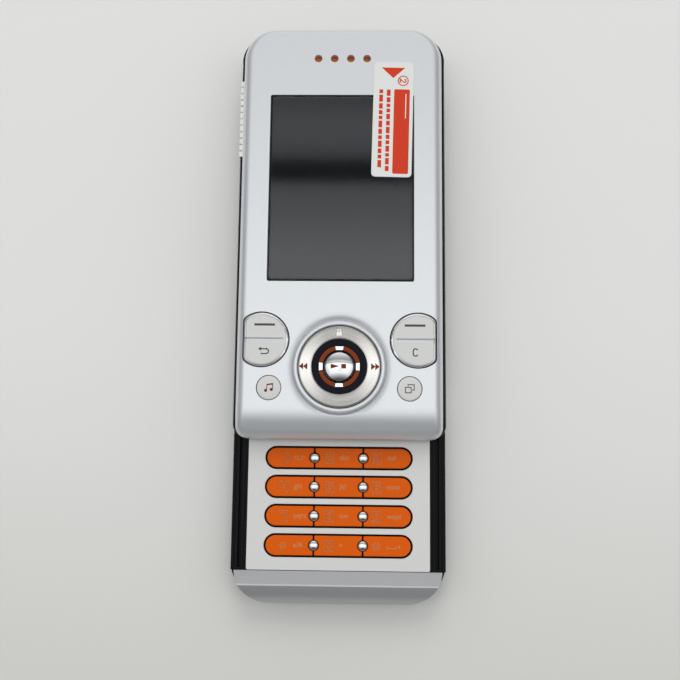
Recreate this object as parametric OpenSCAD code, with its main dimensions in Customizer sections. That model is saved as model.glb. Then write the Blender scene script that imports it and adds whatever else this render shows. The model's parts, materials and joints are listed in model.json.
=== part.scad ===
// Slider phone, open, lying on its back with the display up.
// +X is to the phone's right, +Y towards the earpiece, +Z out of the display.
// The origin is the middle of the lower half's flat back.
// The upper half is drawn where it stands when the phone is open; it closes by sliding to -Y.

/* [Overall] */
// Width over the black sides
body_w = 47; // [44:0.5:50]
// Length of the lower half, which is the closed phone's length
base_len = 98.8; // [96:0.1:104]
// How far the upper half slides open
travel = 30.9; // [26:0.1:32]
// Gap between neighbouring covers that only look joined
seam = 0.1; // [0.05:0.01:0.15]
// Air between the back of the upper half and the keypad plate
slide_gap = 0.25; // [0.2:0.01:0.4]

/* [Upper half] */
// How far the silver front cover stands in from the black sides
cover_inset = 0.7; // [0.5:0.05:1]
// Height of the line where silver and black covers meet, above the upper board
parting_lift = 0.4; // [0.2:0.05:0.6]
// Radius of the roll round the front cover's rim
cover_roll = 2.25; // [1.8:0.05:2.4]
// Corner radius at the earpiece end
cover_top_r = 6.6; // [5:0.1:7]
// Corner radius at the keypad end
cover_bottom_r = 2.6; // [2.4:0.1:3]
// Radius of the long roll that lowers the keypad end
end_roll = 10; // [9.5:0.1:11]
// Length of the long roll
end_roll_len = 6.85; // [6.5:0.05:7]
// Wall of the front cover round its sides
cover_side_wall = 1.3; // [1.2:0.05:1.4]
// Wall of the front cover under its face
cover_face_wall = 1.4; // [1.3:0.05:1.5]
// How far the silver rim stands out past the black cover at the earpiece end
top_lip = 0.35; // [0.2:0.05:0.5]
// Corner radius of the black rear cover at the earpiece end
rear_top_r = 7; // [6:0.1:7.5]
// Corner radius of the black rear cover at the keypad end
rear_bottom_r = 3.2; // [3:0.1:3.6]
// Radius of the black cover's bulging sides
side_bulge = 3; // [2.9:0.1:3.4]
// Floor of the rear cover
rear_floor = 1; // [0.9:0.05:1.1]
// Side wall of the rear cover
rear_wall = 1.6; // [1.5:0.1:1.8]

/* [Display] */
// Distance from the front cover's sides to the display window
window_side = 6.65; // [6.3:0.05:7.3]
// Distance from the front cover's keypad end to the window
window_start = 34.5; // [34:0.1:35.5]
// Distance from the window to the front cover's earpiece end
window_end = 16.65; // [16.15:0.05:17.65]
// Thickness of the window
window_t = 0.8; // [0.7:0.05:0.9]
// How far the window lies below the cover's face
window_sink = 0.2; // [0.15:0.01:0.25]
// Width of the ledge that the window is stuck to
window_ledge = 0.8; // [0.6:0.05:1]
// Corner radius of the window
window_r = 0.8; // [0.5:0.1:1]
// How far the display module reaches past the window's sides
display_side = 1.85; // [1.6:0.05:2]
// How far the display module reaches past the window's ends
display_end = 2.25; // [1.8:0.05:2.35]
// Gap between the display module and the front cover
display_gap = 0.18; // [0.15:0.01:0.3]
// Thickness of the display module
display_t = 2.4; // [2.2:0.05:2.5]
// Sheet thickness of the display's steel frame
display_frame_t = 0.3; // [0.25:0.05:0.35]
// Thickness of the clear film over the window
film_t = 0.08; // [0.05:0.01:0.1]
// How far the film stays inside the window's edge
film_inset = 0.3; // [0.2:0.05:0.4]
// Width of the film's pull tab
tab_w = 9; // [8:0.1:9.4]
// Length of the pull tab
tab_len = 27.1; // [25:0.1:27.5]
// Thickness of the pull tab
tab_t = 0.12; // [0.1:0.01:0.15]
// Distance from the window's side to the pull tab's centre
tab_side = 4.75; // [4.6:0.05:5.1]
// Distance from the window's earpiece end to the pull tab's centre
tab_drop = 5.65; // [5.4:0.05:5.9]
// Lean of the pull tab, degrees
tab_lean = 1.27; // [0:0.01:2]

/* [Navigation control] */
// Distance from the cover's keypad end to the control's centre
nav_y = 15.55; // [15.4:0.05:16]
// Width of the fixed bezel
bezel_w = 1.05; // [0.9:0.05:1.1]
// Height of the bezel above the cover's face
bezel_proud = 0.3; // [0.2:0.05:0.4]
// Depth of the pocket that holds the bezel
bezel_seat = 0.5; // [0.4:0.05:0.6]
// Outer radius of the rocking ring
ring_r = 8.95; // [8.8:0.05:9]
// Radius of the black disc inside the ring
disc_r = 6; // [5.8:0.05:6.1]
// Radius of the chrome select key
select_r = 3.15; // [3:0.05:3.25]
// Height of the select key's edge above the cover's face
select_rise = 0.3; // [0.2:0.05:0.4]
// Height of the select key's crown above its edge
select_crown = 0.6; // [0.4:0.05:0.8]
// Running gap round the keys of the upper half
key_gap = 0.15; // [0.14:0.01:0.2]
// Depth of the ring's rocking axes below the cover's face
nav_pivot_drop = 2.1; // [1.8:0.05:2.4]
// Radius of the circle on which the ring's four switches lie
switch_r = 7.5; // [7.2:0.05:7.8]
// Width of the shallow dish that sinks towards the bezel
dish_reach = 1.6; // [1.2:0.05:1.65]
// Radius of the dish's curve
dish_roll = 5; // [4:0.1:7]
// Slope at which the dish leaves the face, degrees
dish_slope = 5; // [3:1:8]

/* [Function keys] */
// Distance from the front cover's sides to the D keys' arc centres
d_key_side = 5.75; // [5.6:0.05:5.9]
// Distance from the cover's keypad end to the D keys' centres
d_key_y = 21.4; // [21.2:0.05:21.6]
// Radius of the openings for the D keys
d_key_r = 6.2; // [6:0.05:6.25]
// Distance from the front cover's sides to the D openings' flat sides
d_key_edge = 1.6; // [1.55:0.05:1.8]
// Height of the D keys above the cover's face
d_key_proud = 0.15; // [0.1:0.05:0.3]
// Width of the bright chamfer round the D keys
d_chamfer_w = 0.45; // [0.3:0.05:0.6]
// Height of the chamfer
d_chamfer_h = 0.18; // [0.1:0.02:0.25]
// Distance from the front cover's sides to the round keys' centres
round_key_side = 7.54; // [7.4:0.02:7.8]
// Distance from the cover's keypad end to the round keys
round_key_y = 10.85; // [10.7:0.05:11]
// Radius of the openings for the round keys
round_key_r = 2.76; // [2.6:0.02:2.9]
// Height of the round keys above the cover's face
round_key_proud = 0.1; // [0.05:0.05:0.2]
// How far the keys' flanges reach under the cover
key_flange = 0.35; // [0.3:0.01:0.4]
// Thickness of the keys' flanges
key_flange_t = 0.5; // [0.4:0.05:0.55]
// Travel of a pressed key
press = 0.3; // [0.25:0.01:0.32]

/* [Earpiece] */
// Distance from the earpiece holes to the cover's earpiece end
ear_end = 7.85; // [7.65:0.05:8.05]
// Spacing of the earpiece holes
ear_pitch = 3.69; // [3.4:0.01:3.9]
// Number of earpiece holes
ear_count = 4; // [3:1:5]
// Radius of an earpiece hole
ear_hole_r = 0.9; // [0.7:0.05:1]
// Length of the earpiece capsule
ear_capsule_len = 13; // [12:0.5:14]
// Width of the earpiece capsule
ear_capsule_w = 6; // [5.5:0.1:6.2]

/* [System connector] */
// Distance from the connector to the cover's earpiece end
port_end = 11.75; // [10:0.05:14]
// Length of the connector
port_len = 18.1; // [17:0.1:19]
// How far the connector stands out of the black side
port_proud = 0.1; // [0.05:0.05:0.3]
// Number of contacts in the connector
port_contacts = 12; // [8:1:13]

/* [Boards] */
// Thickness of a circuit board
board_t = 0.7; // [0.6:0.05:0.75]
// Height of the posts that carry the upper board
board_lift = 0.85; // [0.75:0.05:0.9]
// Air between the battery and the main board
battery_air = 0.15; // [0.1:0.01:0.2]
// Width of the flex cable that leads to the lower half
flex_w = 14; // [12:0.5:16]
// Length of the flex cable along the rear cover's floor
flex_len = 32; // [30:0.5:34]
// Distance from the cover's keypad end to the flex cable
flex_start = 6; // [5.5:0.1:7]
// Thickness of the flex cable
flex_t = 0.15; // [0.1:0.01:0.2]
// Width of the flex cable's plug
flex_plug_w = 16; // [14:0.5:18]
// Radius of a switch dome
dome_r = 1.7; // [1.5:0.1:1.8]
// Height of a switch dome
dome_h = 0.25; // [0.2:0.01:0.3]

/* [Lower half] */
// Width of a side rail
rail_w = 3.35; // [3.25:0.05:3.45]
// Height of the keypad plate's face above the main board
keypad_room = 1.5; // [1.45:0.01:1.55]
// Thickness of the keypad plate
plate_t = 0.6; // [0.55:0.01:0.65]
// How far the side rails lie below the keypad plate's face
rail_drop = 0.7; // [0.65:0.05:0.8]
// Thickness of a rail under its slot
rail_floor = 0.5; // [0.4:0.05:0.6]
// Width of the fine grooves along the rails
groove_w = 0.3; // [0.2:0.05:0.35]
// Depth of the fine grooves
groove_depth = 0.35; // [0.2:0.05:0.4]
// Length of the chin beyond the closed upper half
chin_len = 4.6; // [4.4:0.05:5]
// Length of the ramp that the closed upper half rests over
ramp_len = 2.6; // [2.5:0.05:2.8]
// Height of the chin's crest above the keypad plate
chin_rise = 2; // [1.8:0.05:2.1]
// Radius of the lower edge of the chin's end
chin_under_roll = 4; // [3.8:0.05:4]
// Corner radius of the chin
chin_r = 8.4; // [8:0.1:8.6]
// Corner radius of the black housing at the chin
base_bottom_r = 7.8; // [7.6:0.1:8]
// How far the black housing stops short of the chin's end
base_setback = 1.3; // [1.2:0.05:1.5]
// Corner radius of the black housing at the earpiece end
base_top_r = 7; // [6.5:0.1:7.5]
// Radius of the roll along the bottom edges
base_roll = 3.5; // [3:0.1:3.8]
// Thickness of the housing's floor
base_floor = 0.95; // [0.9:0.05:1]
// Distance from the black sides to the bays inside the housing
bay_side = 5.9; // [5.8:0.05:6.1]

/* [Keypad] */
// Spacing of the key rows
row_pitch = 6.334; // [6.2:0.01:6.4]
// Distance from the ramp's foot to the lowest row's centre
row_y = 5.4; // [5.2:0.05:5.6]
// Distance from the keypad plate's sides to a row's opening
row_side = 3.75; // [3.55:0.05:4.05]
// Width of a row's opening
row_h = 5.12; // [5:0.02:5.2]
// Gap between the keys and their opening
row_gap = 0.42; // [0.3:0.02:0.5]
// Sideways place of the pips between the keys
pip_x = 5.38; // [5:0.02:5.6]
// Radius of a pip
pip_r = 1.05; // [0.9:0.05:1.1]
// How far a pip's crown stands above the keypad plate
pip_proud = 0.12; // [0.05:0.01:0.15]
// Gap between two keys of a row
key_split = 0.35; // [0.3:0.01:0.4]
// Thickness of a number key
key_t = 0.8; // [0.75:0.01:0.85]

/* [Slide] */
// Distance from the ramp's foot to the rails' slots
slot_start = 0.6; // [0.4:0.1:0.8]
// Distance from the slots to the housing's earpiece end
slot_end = 7.8; // [7.6:0.1:8.2]
// Length of a rail's solid end beyond its slot
rail_cap = 0.8; // [0.6:0.1:1]
// Thickness of the wall outside a slot
slot_wall = 1.4; // [1.35:0.01:1.5]
// Width of a slot's mouth
slot_mouth = 0.8; // [0.75:0.01:0.85]
// Width of the slot under its lip
slot_width = 1.2; // [1.15:0.01:1.25]
// Height of the room under the lip
slot_under = 0.8; // [0.75:0.01:0.85]
// Depth of the slot from the rail's face
slot_depth = 1.6; // [1.55:0.01:1.65]
// Running clearance of the runners in the slots
slot_gap = 0.12; // [0.1:0.01:0.15]
// Sheet thickness of the slide carriage
carriage_t = 0.4; // [0.35:0.01:0.45]

/* [Battery and inside] */
// Gap between the battery and the bay's side walls
battery_gap = 0.6; // [0.4:0.05:1.1]
// Room between battery and card holder for the contacts
contact_room = 2; // [1.8:0.1:3]
// Thickness of the battery
battery_t = 3.85; // [3.6:0.05:3.9]
// How far the battery cover reaches past the bay at each side
lid_lap = 1.8; // [1.6:0.05:2]
// Thickness of the battery cover
lid_t = 0.85; // [0.8:0.05:0.85]
// Distance from the battery cover to the housing's earpiece end
lid_end = 29.2; // [28.7:0.1:29.7]
// Length of the finger grip in the battery cover
grip_len = 12; // [8:0.5:16]
// Depth of the finger grip
grip_depth = 0.3; // [0.2:0.05:0.4]
// Width of the SIM card
sim_w = 25; // [25:0.1:25]
// Length of the SIM card
sim_len = 15; // [15:0.1:15]
// Thickness of the SIM card
sim_t = 0.76; // [0.7:0.01:0.8]
// Radius of the camera's window
camera_r = 4.2; // [4:0.1:4.4]
// Distance from the camera's centre to the housing's earpiece end
camera_end = 14.2; // [13.7:0.1:14.7]
// Width of the camera module
camera_w = 8.6; // [8.2:0.1:9]
// Length of the loudspeaker
speaker_len = 16; // [14:0.5:16]
// Number of slots over the loudspeaker
speaker_slots = 4; // [3:1:5]
// Length of the vibration motor
motor_len = 8.4; // [7:0.1:9]
// Thickness of the motor's weight
motor_weight_t = 1.8; // [1.5:0.1:2]
// Width of the antenna carrier
antenna_w = 24; // [20:0.5:30]
// Radius of a screw's shank
screw_r = 0.6; // [0.5:0.05:0.65]
// Radius of a screw's head
screw_head_r = 1.1; // [1:0.05:1.15]
// Height of a screw's head
screw_head_t = 0.6; // [0.5:0.05:0.65]
// Radius of the screw bosses in the upper half
boss_r = 1.4; // [1.2:0.05:1.5]
// Distance from the screw bosses to the cover's earpiece end
boss_end = 6.65; // [6.4:0.05:7]

/* [Side keys] */
// Length of the volume rocker
volume_len = 14; // [12:0.1:15]
// Distance from the volume rocker's centre to the housing's earpiece end
volume_end = 23.2; // [22.2:0.1:24.2]
// Length of the camera key
shutter_len = 7; // [6:0.1:8]
// Distance from the camera key's centre to the housing's earpiece end
shutter_end = 54.2; // [53.2:0.1:55.2]
// Height of a side key
side_key_h = 1.8; // [1.6:0.05:1.9]
// Distance from the rails' undersides down to the side keys' centre
side_key_drop = 1.3; // [1.2:0.05:1.4]
// How deep a side key sits in the housing
side_key_depth = 1.4; // [1.3:0.05:1.5]
// How far a side key stands out
side_key_proud = 0.3; // [0.2:0.05:0.35]
// Length of the power key
power_len = 7; // [6:0.1:8]

/* [Hidden] */
$fn = 48;
far = 200;
eps = 0.02;

// Ends of the lower half, and of the upper half when open
base_y0 = -base_len / 2;
base_y1 = base_len / 2;
crest_y = base_y0 + chin_len;
ramp_y = crest_y + ramp_len;
upper_y0 = crest_y + 1.5 * seam + travel;
upper_len = base_len - chin_len - 1.5 * seam;
upper_y1 = upper_y0 + upper_len;

// Heights in the lower half
battery_z = base_floor + 0.05;
main_board_z = battery_z + battery_t + battery_air;
main_board_top = main_board_z + board_t;
plate_foot_z = main_board_top + eps;
plate_z = main_board_top + keypad_room;
rail_z = plate_z - rail_drop;
rail_foot_z = rail_z - slot_depth - rail_floor;
side_key_z = rail_foot_z - side_key_drop;
chin_z = plate_z + chin_rise;
chin_roll = chin_z - chin_under_roll;

// Heights in the upper half
rear_z = plate_z + slide_gap;
rear_floor_z = rear_z + rear_floor;
upper_board_z = rear_floor_z + board_lift;
upper_board_top = upper_board_z + board_t;
parting_z = upper_board_top + parting_lift;
display_z = upper_board_top + eps;
ceiling_z = display_z + display_t + display_gap;
face_z = ceiling_z + cover_face_wall;
cover_h = face_z - parting_z;
window_z = face_z - window_sink - window_t;
flange_top_z = ceiling_z - press;
plunger_z = upper_board_top + dome_h + press + 2 * eps;
nav_pivot_z = face_z - nav_pivot_drop;

// Widths in the upper half
cover_w = body_w - 2 * cover_inset;
cover_in_w = cover_w / 2 - cover_side_wall;
window_w = cover_w - 2 * window_side;
window_len = upper_len - window_start - window_end;
display_w = window_w + 2 * display_side;
display_len = window_len + 2 * display_end;
bezel_r = ring_r + key_gap + bezel_w;
nav_hole_r = select_r + 0.65;
d_key_x = cover_w / 2 - d_key_side;
d_key_flat = cover_w / 2 - d_key_edge;
round_key_x = cover_w / 2 - round_key_side;

// Widths in the lower half
rail_x0 = body_w / 2 - rail_w;
plate_w = 2 * (rail_x0 - seam);
row_w = plate_w - 2 * row_side;
slot_outer_x = body_w / 2 - slot_wall;
carriage_w = 2 * slot_outer_x;
bay_half_w = body_w / 2 - bay_side;
battery_w = 2 * (bay_half_w - battery_gap);
lid_half_w = bay_half_w + lid_lap;
tray_boss_r = screw_r + 0.6;
screw_x = plate_w / 2 - tray_boss_r;
side_key_x = body_w / 2 - side_key_depth;

// Places on the lower half
plate_y1 = upper_y0 + 2.6;
base_end_y = base_y0 + base_setback;
screw_y = [ramp_y + 2.4, base_y1 - 7.5];
slot_y0 = ramp_y + slot_start;
slot_y1 = base_y1 - slot_end;
rail_y1 = slot_y1 + rail_cap;
lid_y = base_y1 - lid_end;
sim_y0 = lid_y - 1.6 - sim_len;
bay_y0 = ramp_y + 1;
battery_y0 = bay_y0 + 0.3;
battery_y1 = sim_y0 - 0.1 - contact_room;
upper_bay_y0 = lid_y + 2;
upper_bay_y1 = base_y1 - 2.6;
camera_y = base_y1 - camera_end;
speaker_x0 = -bay_half_w + 0.8;
speaker_x1 = -camera_w / 2 - 1.1;
volume_y = base_y1 - volume_end;
shutter_y = base_y1 - shutter_end;

// Places on the upper half
nav_cy = upper_y0 + nav_y;
d_cy = upper_y0 + d_key_y;
round_cy = upper_y0 + round_key_y;
window_cy = upper_y0 + window_start + window_len / 2;
tab_x = window_w / 2 - tab_side;
tab_cy = window_cy + window_len / 2 - tab_drop;
ear_cy = upper_y1 - ear_end;
port_y0 = upper_y1 - port_end - port_len;
runner_len = slot_y1 - slot_y0 - travel - 2 * slot_gap;
runner_y0 = slot_y1 - slot_gap - runner_len;
boss_x = display_w / 2 + 0.3 + boss_r;
boss_y = [runner_y0 + runner_len + 3.17, upper_y1 - boss_end];
flex_y0 = upper_y0 + flex_start;
flex_exit_y = runner_y0 + runner_len * 0.25;

// ---------------------------------------------------------------- shared shapes

// A rectangle from y0 to y1 with round corners: r0 at the y0 end, r1 at the y1 end
module outline(w, y0, y1, r0, r1) {
    translate([-w / 2, y0 + r0]) square([w, y1 - y0 - r0 - r1]);
    translate([-w / 2 + r0, y0]) square([w - 2 * r0, r0]);
    translate([-w / 2 + r1, y1 - r1]) square([w - 2 * r1, r1]);
    for (side = [-1, 1]) {
        translate([side * (w / 2 - r0), y0 + r0]) circle(r0);
        translate([side * (w / 2 - r1), y1 - r1]) circle(r1);
    }
}

// A bar along X with half-round ends
module pill(length, r) {
    translate([r - length / 2, -r]) square([length - 2 * r, 2 * r]);
    for (side = [-1, 1]) translate([side * (length / 2 - r), 0]) circle(r);
}

module plate(w, y0, y1, r0, r1, z, t) {
    translate([0, 0, z]) linear_extrude(t) outline(w, y0, y1, r0, r1);
}

// Half a cross-section, from the middle out to a rim whose top edge is rolled
module rolled_section(reach, height, roll) {
    square([reach, height - roll]);
    square([reach - roll, height]);
    intersection() {
        translate([reach - roll, height - roll]) circle(roll);
        square([reach, height]);
    }
}

// The same with a bulging side that stands out past the flat faces by inset
module bulged_section(reach, height, bulge, inset) {
    square([reach - inset, height]);
    intersection() {
        translate([reach - bulge, height / 2]) circle(bulge);
        square([reach, height]);
    }
}

module section(reach, height, roll, inset) {
    if (inset > 0) bulged_section(reach, height, roll, inset);
    else rolled_section(reach, height, roll);
}

module block_end(w, r, height, roll, inset) {
    translate([r - w / 2, 0, 0]) rotate([90, 0, 90])
        linear_extrude(w - 2 * r) section(r, height, roll, inset);
    translate([w / 2 - r, 0, 0])
        rotate_extrude(angle = 90) section(r, height, roll, inset);
    translate([r - w / 2, 0, 0]) rotate([0, 0, 90])
        rotate_extrude(angle = 90) section(r, height, roll, inset);
}

// A block with round plan corners whose rim section runs all the way round
module rim_block(w, y0, y1, r0, r1, height, roll, inset = 0) {
    for (turn = [0, 180])
        translate([0, turn == 0 ? y1 - r1 : y0 + r0, 0]) rotate([90, 0, turn])
            linear_extrude(y1 - r1 - y0 - r0) section(w / 2, height, roll, inset);
    translate([0, y1 - r1, 0]) block_end(w, r1, height, roll, inset);
    translate([0, y0 + r0, 0]) rotate([0, 0, 180]) block_end(w, r0, height, roll, inset);
}

// A box given by its low corner and its high corner
module span_box(low, high) {
    translate(low) cube(high - low);
}

// A dome: the cap of a sphere that is r wide and rise high, on the plane z = 0
module dome_cap(r, rise) {
    ball = (r * r + rise * rise) / (2 * rise);
    intersection() {
        translate([0, 0, rise - ball]) sphere(ball);
        cylinder(r = r + 1, h = rise + 1);
    }
}

// A round button: a straight stem with a crowned top
module crowned_disc(r, z0, z1, crown) {
    translate([0, 0, z0]) cylinder(r = r, h = z1 - z0);
    translate([0, 0, z1]) dome_cap(r, crown);
}

// ---------------------------------------------------------------- upper half

// Everything below the long roll of the keypad end, for a roll of the given radius
module under_end_roll(r) {
    axis_y = upper_y0 + end_roll_len;
    span_box([-far, axis_y, -far], [far, far, far]);
    translate([-far, axis_y, face_z - end_roll]) rotate([0, 90, 0]) cylinder(r = r, h = 2 * far, $fn = 96);
    span_box([-far, upper_y0 - 1, -far], [far, axis_y + 1, face_z - end_roll]);
}

module ear_places() {
    for (i = [0 : ear_count - 1]) translate([(i - (ear_count - 1) / 2) * ear_pitch, ear_cy, 0]) children();
}

// Plan of a D key: a circle cut by a straight outer side, for the right-hand key
module d_plan(grow) {
    intersection() {
        translate([d_key_x, d_cy]) circle(d_key_r + grow);
        translate([0, d_cy - far / 2]) square([d_key_flat + grow, far]);
    }
}

module cover_openings() {
    plate(window_w - 2 * window_ledge, window_cy - window_len / 2 + window_ledge,
        window_cy + window_len / 2 - window_ledge, window_r, window_r, parting_z, far);
    plate(window_w + 2 * seam, window_cy - window_len / 2 - seam, window_cy + window_len / 2 + seam,
        window_r, window_r, window_z, far);
    translate([0, nav_cy, parting_z]) cylinder(r = ring_r + key_gap, h = far);
    translate([0, nav_cy, face_z - bezel_seat]) cylinder(r = bezel_r + 0.05, h = far);
    for (side = [0, 1]) mirror([side, 0, 0]) {
        translate([0, 0, parting_z]) linear_extrude(far) d_plan(0);
        translate([round_key_x, round_cy, parting_z]) cylinder(r = round_key_r, h = far);
    }
    ear_places() cylinder(r = ear_hole_r, h = far);
    dish_cut();
}

// Shallow ring that sinks from the face towards the bezel
module dish_cut() {
    rim_r = bezel_r + dish_reach;
    translate([0, nav_cy, 0]) rotate_extrude() difference() {
        translate([bezel_r - 0.2, face_z - 0.9 * bezel_seat]) square([dish_reach + 0.2, bezel_seat + 1]);
        translate([rim_r + dish_roll * sin(dish_slope), face_z - dish_roll * cos(dish_slope)])
            circle(dish_roll, $fn = 96);
    }
}

module front_cover() {
    color([0.8, 0.82, 0.83]) {
        difference() {
            intersection() {
                translate([0, 0, parting_z])
                    rim_block(cover_w, upper_y0, upper_y1, cover_bottom_r, cover_top_r, cover_h, cover_roll);
                under_end_roll(end_roll);
            }
            intersection() {
                plate(2 * cover_in_w, upper_y0 + cover_side_wall, upper_y1 - cover_side_wall,
                    cover_bottom_r - cover_side_wall, cover_top_r - cover_side_wall,
                    parting_z - 1, ceiling_z - parting_z + 1);
                under_end_roll(end_roll - cover_face_wall);
            }
            cover_openings();
        }
        for (side = [-1, 1], y = boss_y) translate([side * boss_x, y, upper_board_top + eps])
            difference() {
                cylinder(r = boss_r, h = ceiling_z - upper_board_top);
                translate([0, 0, -eps]) cylinder(r = screw_r + 0.05, h = 2.2);
            }
    }
}

// Room under the keypad end that lets the closed upper half lie over the ramp
module ramp_clearance() {
    slope = (chin_z - plate_z) / ramp_len;
    y0 = upper_y0;
    translate([-far / 2, 0, 0]) rotate([90, 0, 90]) linear_extrude(far) polygon([
        [y0 - 1, rear_z - 1], [y0 + ramp_len + 1 / slope, rear_z - 1],
        [y0 - 1, rear_z + slope * (ramp_len + 1)]
    ]);
}

// Slot through which the flex cable reaches the lower half
module flex_slot(z0, z1) {
    span_box([-flex_w / 2 - 0.5, flex_exit_y - 0.8, z0], [flex_w / 2 + 0.5, flex_exit_y + 0.8, z1]);
}

module slider_rear_cover() {
    color([0.05, 0.05, 0.06]) {
        difference() {
            translate([0, 0, rear_z]) rim_block(body_w, upper_y0 + seam, upper_y1 - top_lip,
                rear_bottom_r, rear_top_r, parting_z - rear_z - eps, side_bulge, 0.9);
            plate(body_w - 2 * rear_wall - 1.4, upper_y0 + 3.6, upper_y1 - top_lip - rear_wall - 0.6, 1.2,
                rear_top_r - rear_wall, rear_floor_z, far);
            ramp_clearance();
            translate([0, 0, rear_z - 1]) linear_extrude(1 + carriage_t + eps)
                translate([-carriage_w / 2 - seam, runner_y0 - seam])
                square([carriage_w + 2 * seam, runner_len + 2 * seam]);
            span_box([-far, port_y0 - seam, rear_z + 1], [-cover_in_w + 2, port_y0 + port_len + seam, far]);
            flex_slot(0, rear_floor_z + 1);
            span_box([-power_len / 2 - key_gap, upper_y1 - 3.2, rear_floor_z],
                [power_len / 2 + key_gap, far, parting_z - 0.3]);
            for (side = [-1, 1], y = boss_y) translate([side * boss_x, y, 0]) {
                cylinder(r = screw_r + 0.1, h = far);
                cylinder(r = screw_head_r + 0.1, h = rear_z + screw_head_t + 0.1);
            }
        }
        for (side = [-1, 1], y = boss_y) translate([side * boss_x, y, rear_floor_z - eps])
            difference() {
                cylinder(r = boss_r, h = upper_board_z - rear_floor_z);
                cylinder(r = screw_r + 0.1, h = far, center = true);
            }
    }
}

// Section of one runner: a web that hangs from the plate, with a hook turned inward
module runner_section() {
    top = rear_z + carriage_t;
    foot = rail_z - slot_depth + slot_gap;
    web_x = slot_outer_x - slot_gap;
    web_t = slot_mouth - 2 * slot_gap;
    hook_t = slot_under - 2 * slot_gap;
    translate([web_x - web_t, foot]) square([web_t, top - foot]);
    translate([slot_outer_x - slot_width + slot_gap, foot]) square([slot_width - 2 * slot_gap, hook_t]);
}

module slide_carriage() {
    color([0.6, 0.61, 0.62]) {
        difference() {
            translate([-carriage_w / 2, runner_y0, rear_z]) cube([carriage_w, runner_len, carriage_t]);
            for (y = [runner_y0 + runner_len * 0.25, runner_y0 + runner_len * 0.75])
                translate([-10, y - 8, rear_z - 1]) linear_extrude(3)
                    translate([10, 8]) outline(20, -8, 8, 2, 2);
        }
        for (side = [0, 1]) mirror([side, 0, 0])
            translate([0, runner_y0 + runner_len, 0]) rotate([90, 0, 0])
            linear_extrude(runner_len) runner_section();
    }
}

module screw(length) {
    difference() {
        cylinder(r = screw_head_r, h = screw_head_t);
        translate([0, 0, -1]) cylinder(r = 0.45, h = 1.3, $fn = 6);
    }
    translate([0, 0, screw_head_t - eps]) cylinder(r = screw_r, h = length - screw_head_t);
}

module upper_screws() {
    color([0.45, 0.46, 0.48])
        for (side = [-1, 1], y = boss_y) translate([side * boss_x, y, rear_z + 0.05])
            screw(upper_board_top + 2 - rear_z);
}

module display_window() {
    color([0.12, 0.13, 0.15])
        plate(window_w, window_cy - window_len / 2, window_cy + window_len / 2, window_r, window_r,
            window_z, window_t);
}

module screen_film() {
    color([0.55, 0.58, 0.6])
        plate(window_w - 2 * film_inset, window_cy - window_len / 2 + film_inset,
            window_cy + window_len / 2 - film_inset, 1.6, 1.6, window_z + window_t, film_t);
}

module film_tab() {
    color([0.95, 0.95, 0.95])
        translate([tab_x, tab_cy, face_z]) rotate([0, 0, -tab_lean])
            linear_extrude(tab_t) outline(tab_w, -tab_len / 2, tab_len / 2, 0.9, 0.9);
}

module display_frame() {
    t = display_frame_t;
    color([0.7, 0.71, 0.72]) difference() {
        plate(display_w, window_cy - display_len / 2, window_cy + display_len / 2, 0.8, 0.8,
            display_z, display_t);
        plate(display_w - 2 * t, window_cy - display_len / 2 + t, window_cy + display_len / 2 - t, 0.5,
            0.5, display_z + t, display_t - 2 * t);
        plate(window_w - 2, window_cy - window_len / 2 + 1, window_cy + window_len / 2 - 1, 0.5, 0.5,
            display_z + t, far);
    }
}

module display_panel() {
    t = display_frame_t + eps;
    color([0.1, 0.1, 0.12])
        plate(display_w - 2 * t, window_cy - display_len / 2 + t, window_cy + display_len / 2 - t, 0.5,
            0.5, display_z + t, display_t - 2 * t);
}

module upper_board() {
    color([0.1, 0.35, 0.2]) difference() {
        plate(2 * cover_in_w - 1.6, upper_y0 + 4.4, upper_y1 - 3.6, 1, 4, upper_board_z, board_t);
        span_box([-far, port_y0 - 0.5, 0], [-port_in_x + 0.3, port_y0 + port_len + 0.5, far]);
        for (side = [-1, 1], y = boss_y) translate([side * boss_x, y, 0])
            cylinder(r = screw_r + 0.15, h = far);
    }
}

// Switches under the navigation ring, the select key, the D keys and the round keys
module upper_switch_places() {
    for (a = [0 : 90 : 270]) translate([switch_r * cos(a), nav_cy + switch_r * sin(a), 0]) children();
    translate([0, nav_cy, 0]) children();
    for (side = [-1, 1]) {
        for (dy = [-3, 3]) translate([side * d_key_x, d_cy + dy, 0]) children();
        translate([side * round_key_x, round_cy, 0]) children();
    }
}

module upper_dome_sheet() {
    color([0.75, 0.76, 0.78]) translate([0, 0, upper_board_top + eps]) {
        linear_extrude(0.06) outline(2 * (cover_in_w - 1.2), upper_y0 + 5.5, d_cy + 5.8, 1, 1);
        upper_switch_places() translate([0, 0, 0.05]) dome_cap(dome_r, dome_h - 0.05);
    }
}

module earpiece_mesh() {
    w = ear_pitch * (ear_count - 1) + 4;
    color([0.85, 0.4, 0.1]) translate([0, ear_cy, ceiling_z - 0.37])
        linear_extrude(0.35) outline(w, -1.7, 1.7, 1.6, 1.6);
}

module earpiece() {
    half = ear_capsule_w / 2;
    color([0.2, 0.2, 0.21]) translate([0, ear_cy, upper_board_top + eps]) {
        linear_extrude(1.6) outline(ear_capsule_len, -half, half, half - 0.1, half - 0.1);
        linear_extrude(ceiling_z - 0.4 - upper_board_top - eps)
            outline(ear_capsule_len - 2, 1 - half, half - 1, half - 1.1, half - 1.1);
    }
}

module flex_cable() {
    color([0.85, 0.55, 0.15]) {
        z0 = rear_floor_z + eps;
        plug_y = flex_y0 + flex_len - 8;
        span_box([-flex_w / 2, flex_y0, z0], [flex_w / 2, flex_y0 + flex_len, z0 + flex_t]);
        span_box([-flex_plug_w / 2, plug_y, z0 + flex_t - eps],
            [flex_plug_w / 2, plug_y + 4, upper_board_z - eps]);
    }
}

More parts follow.
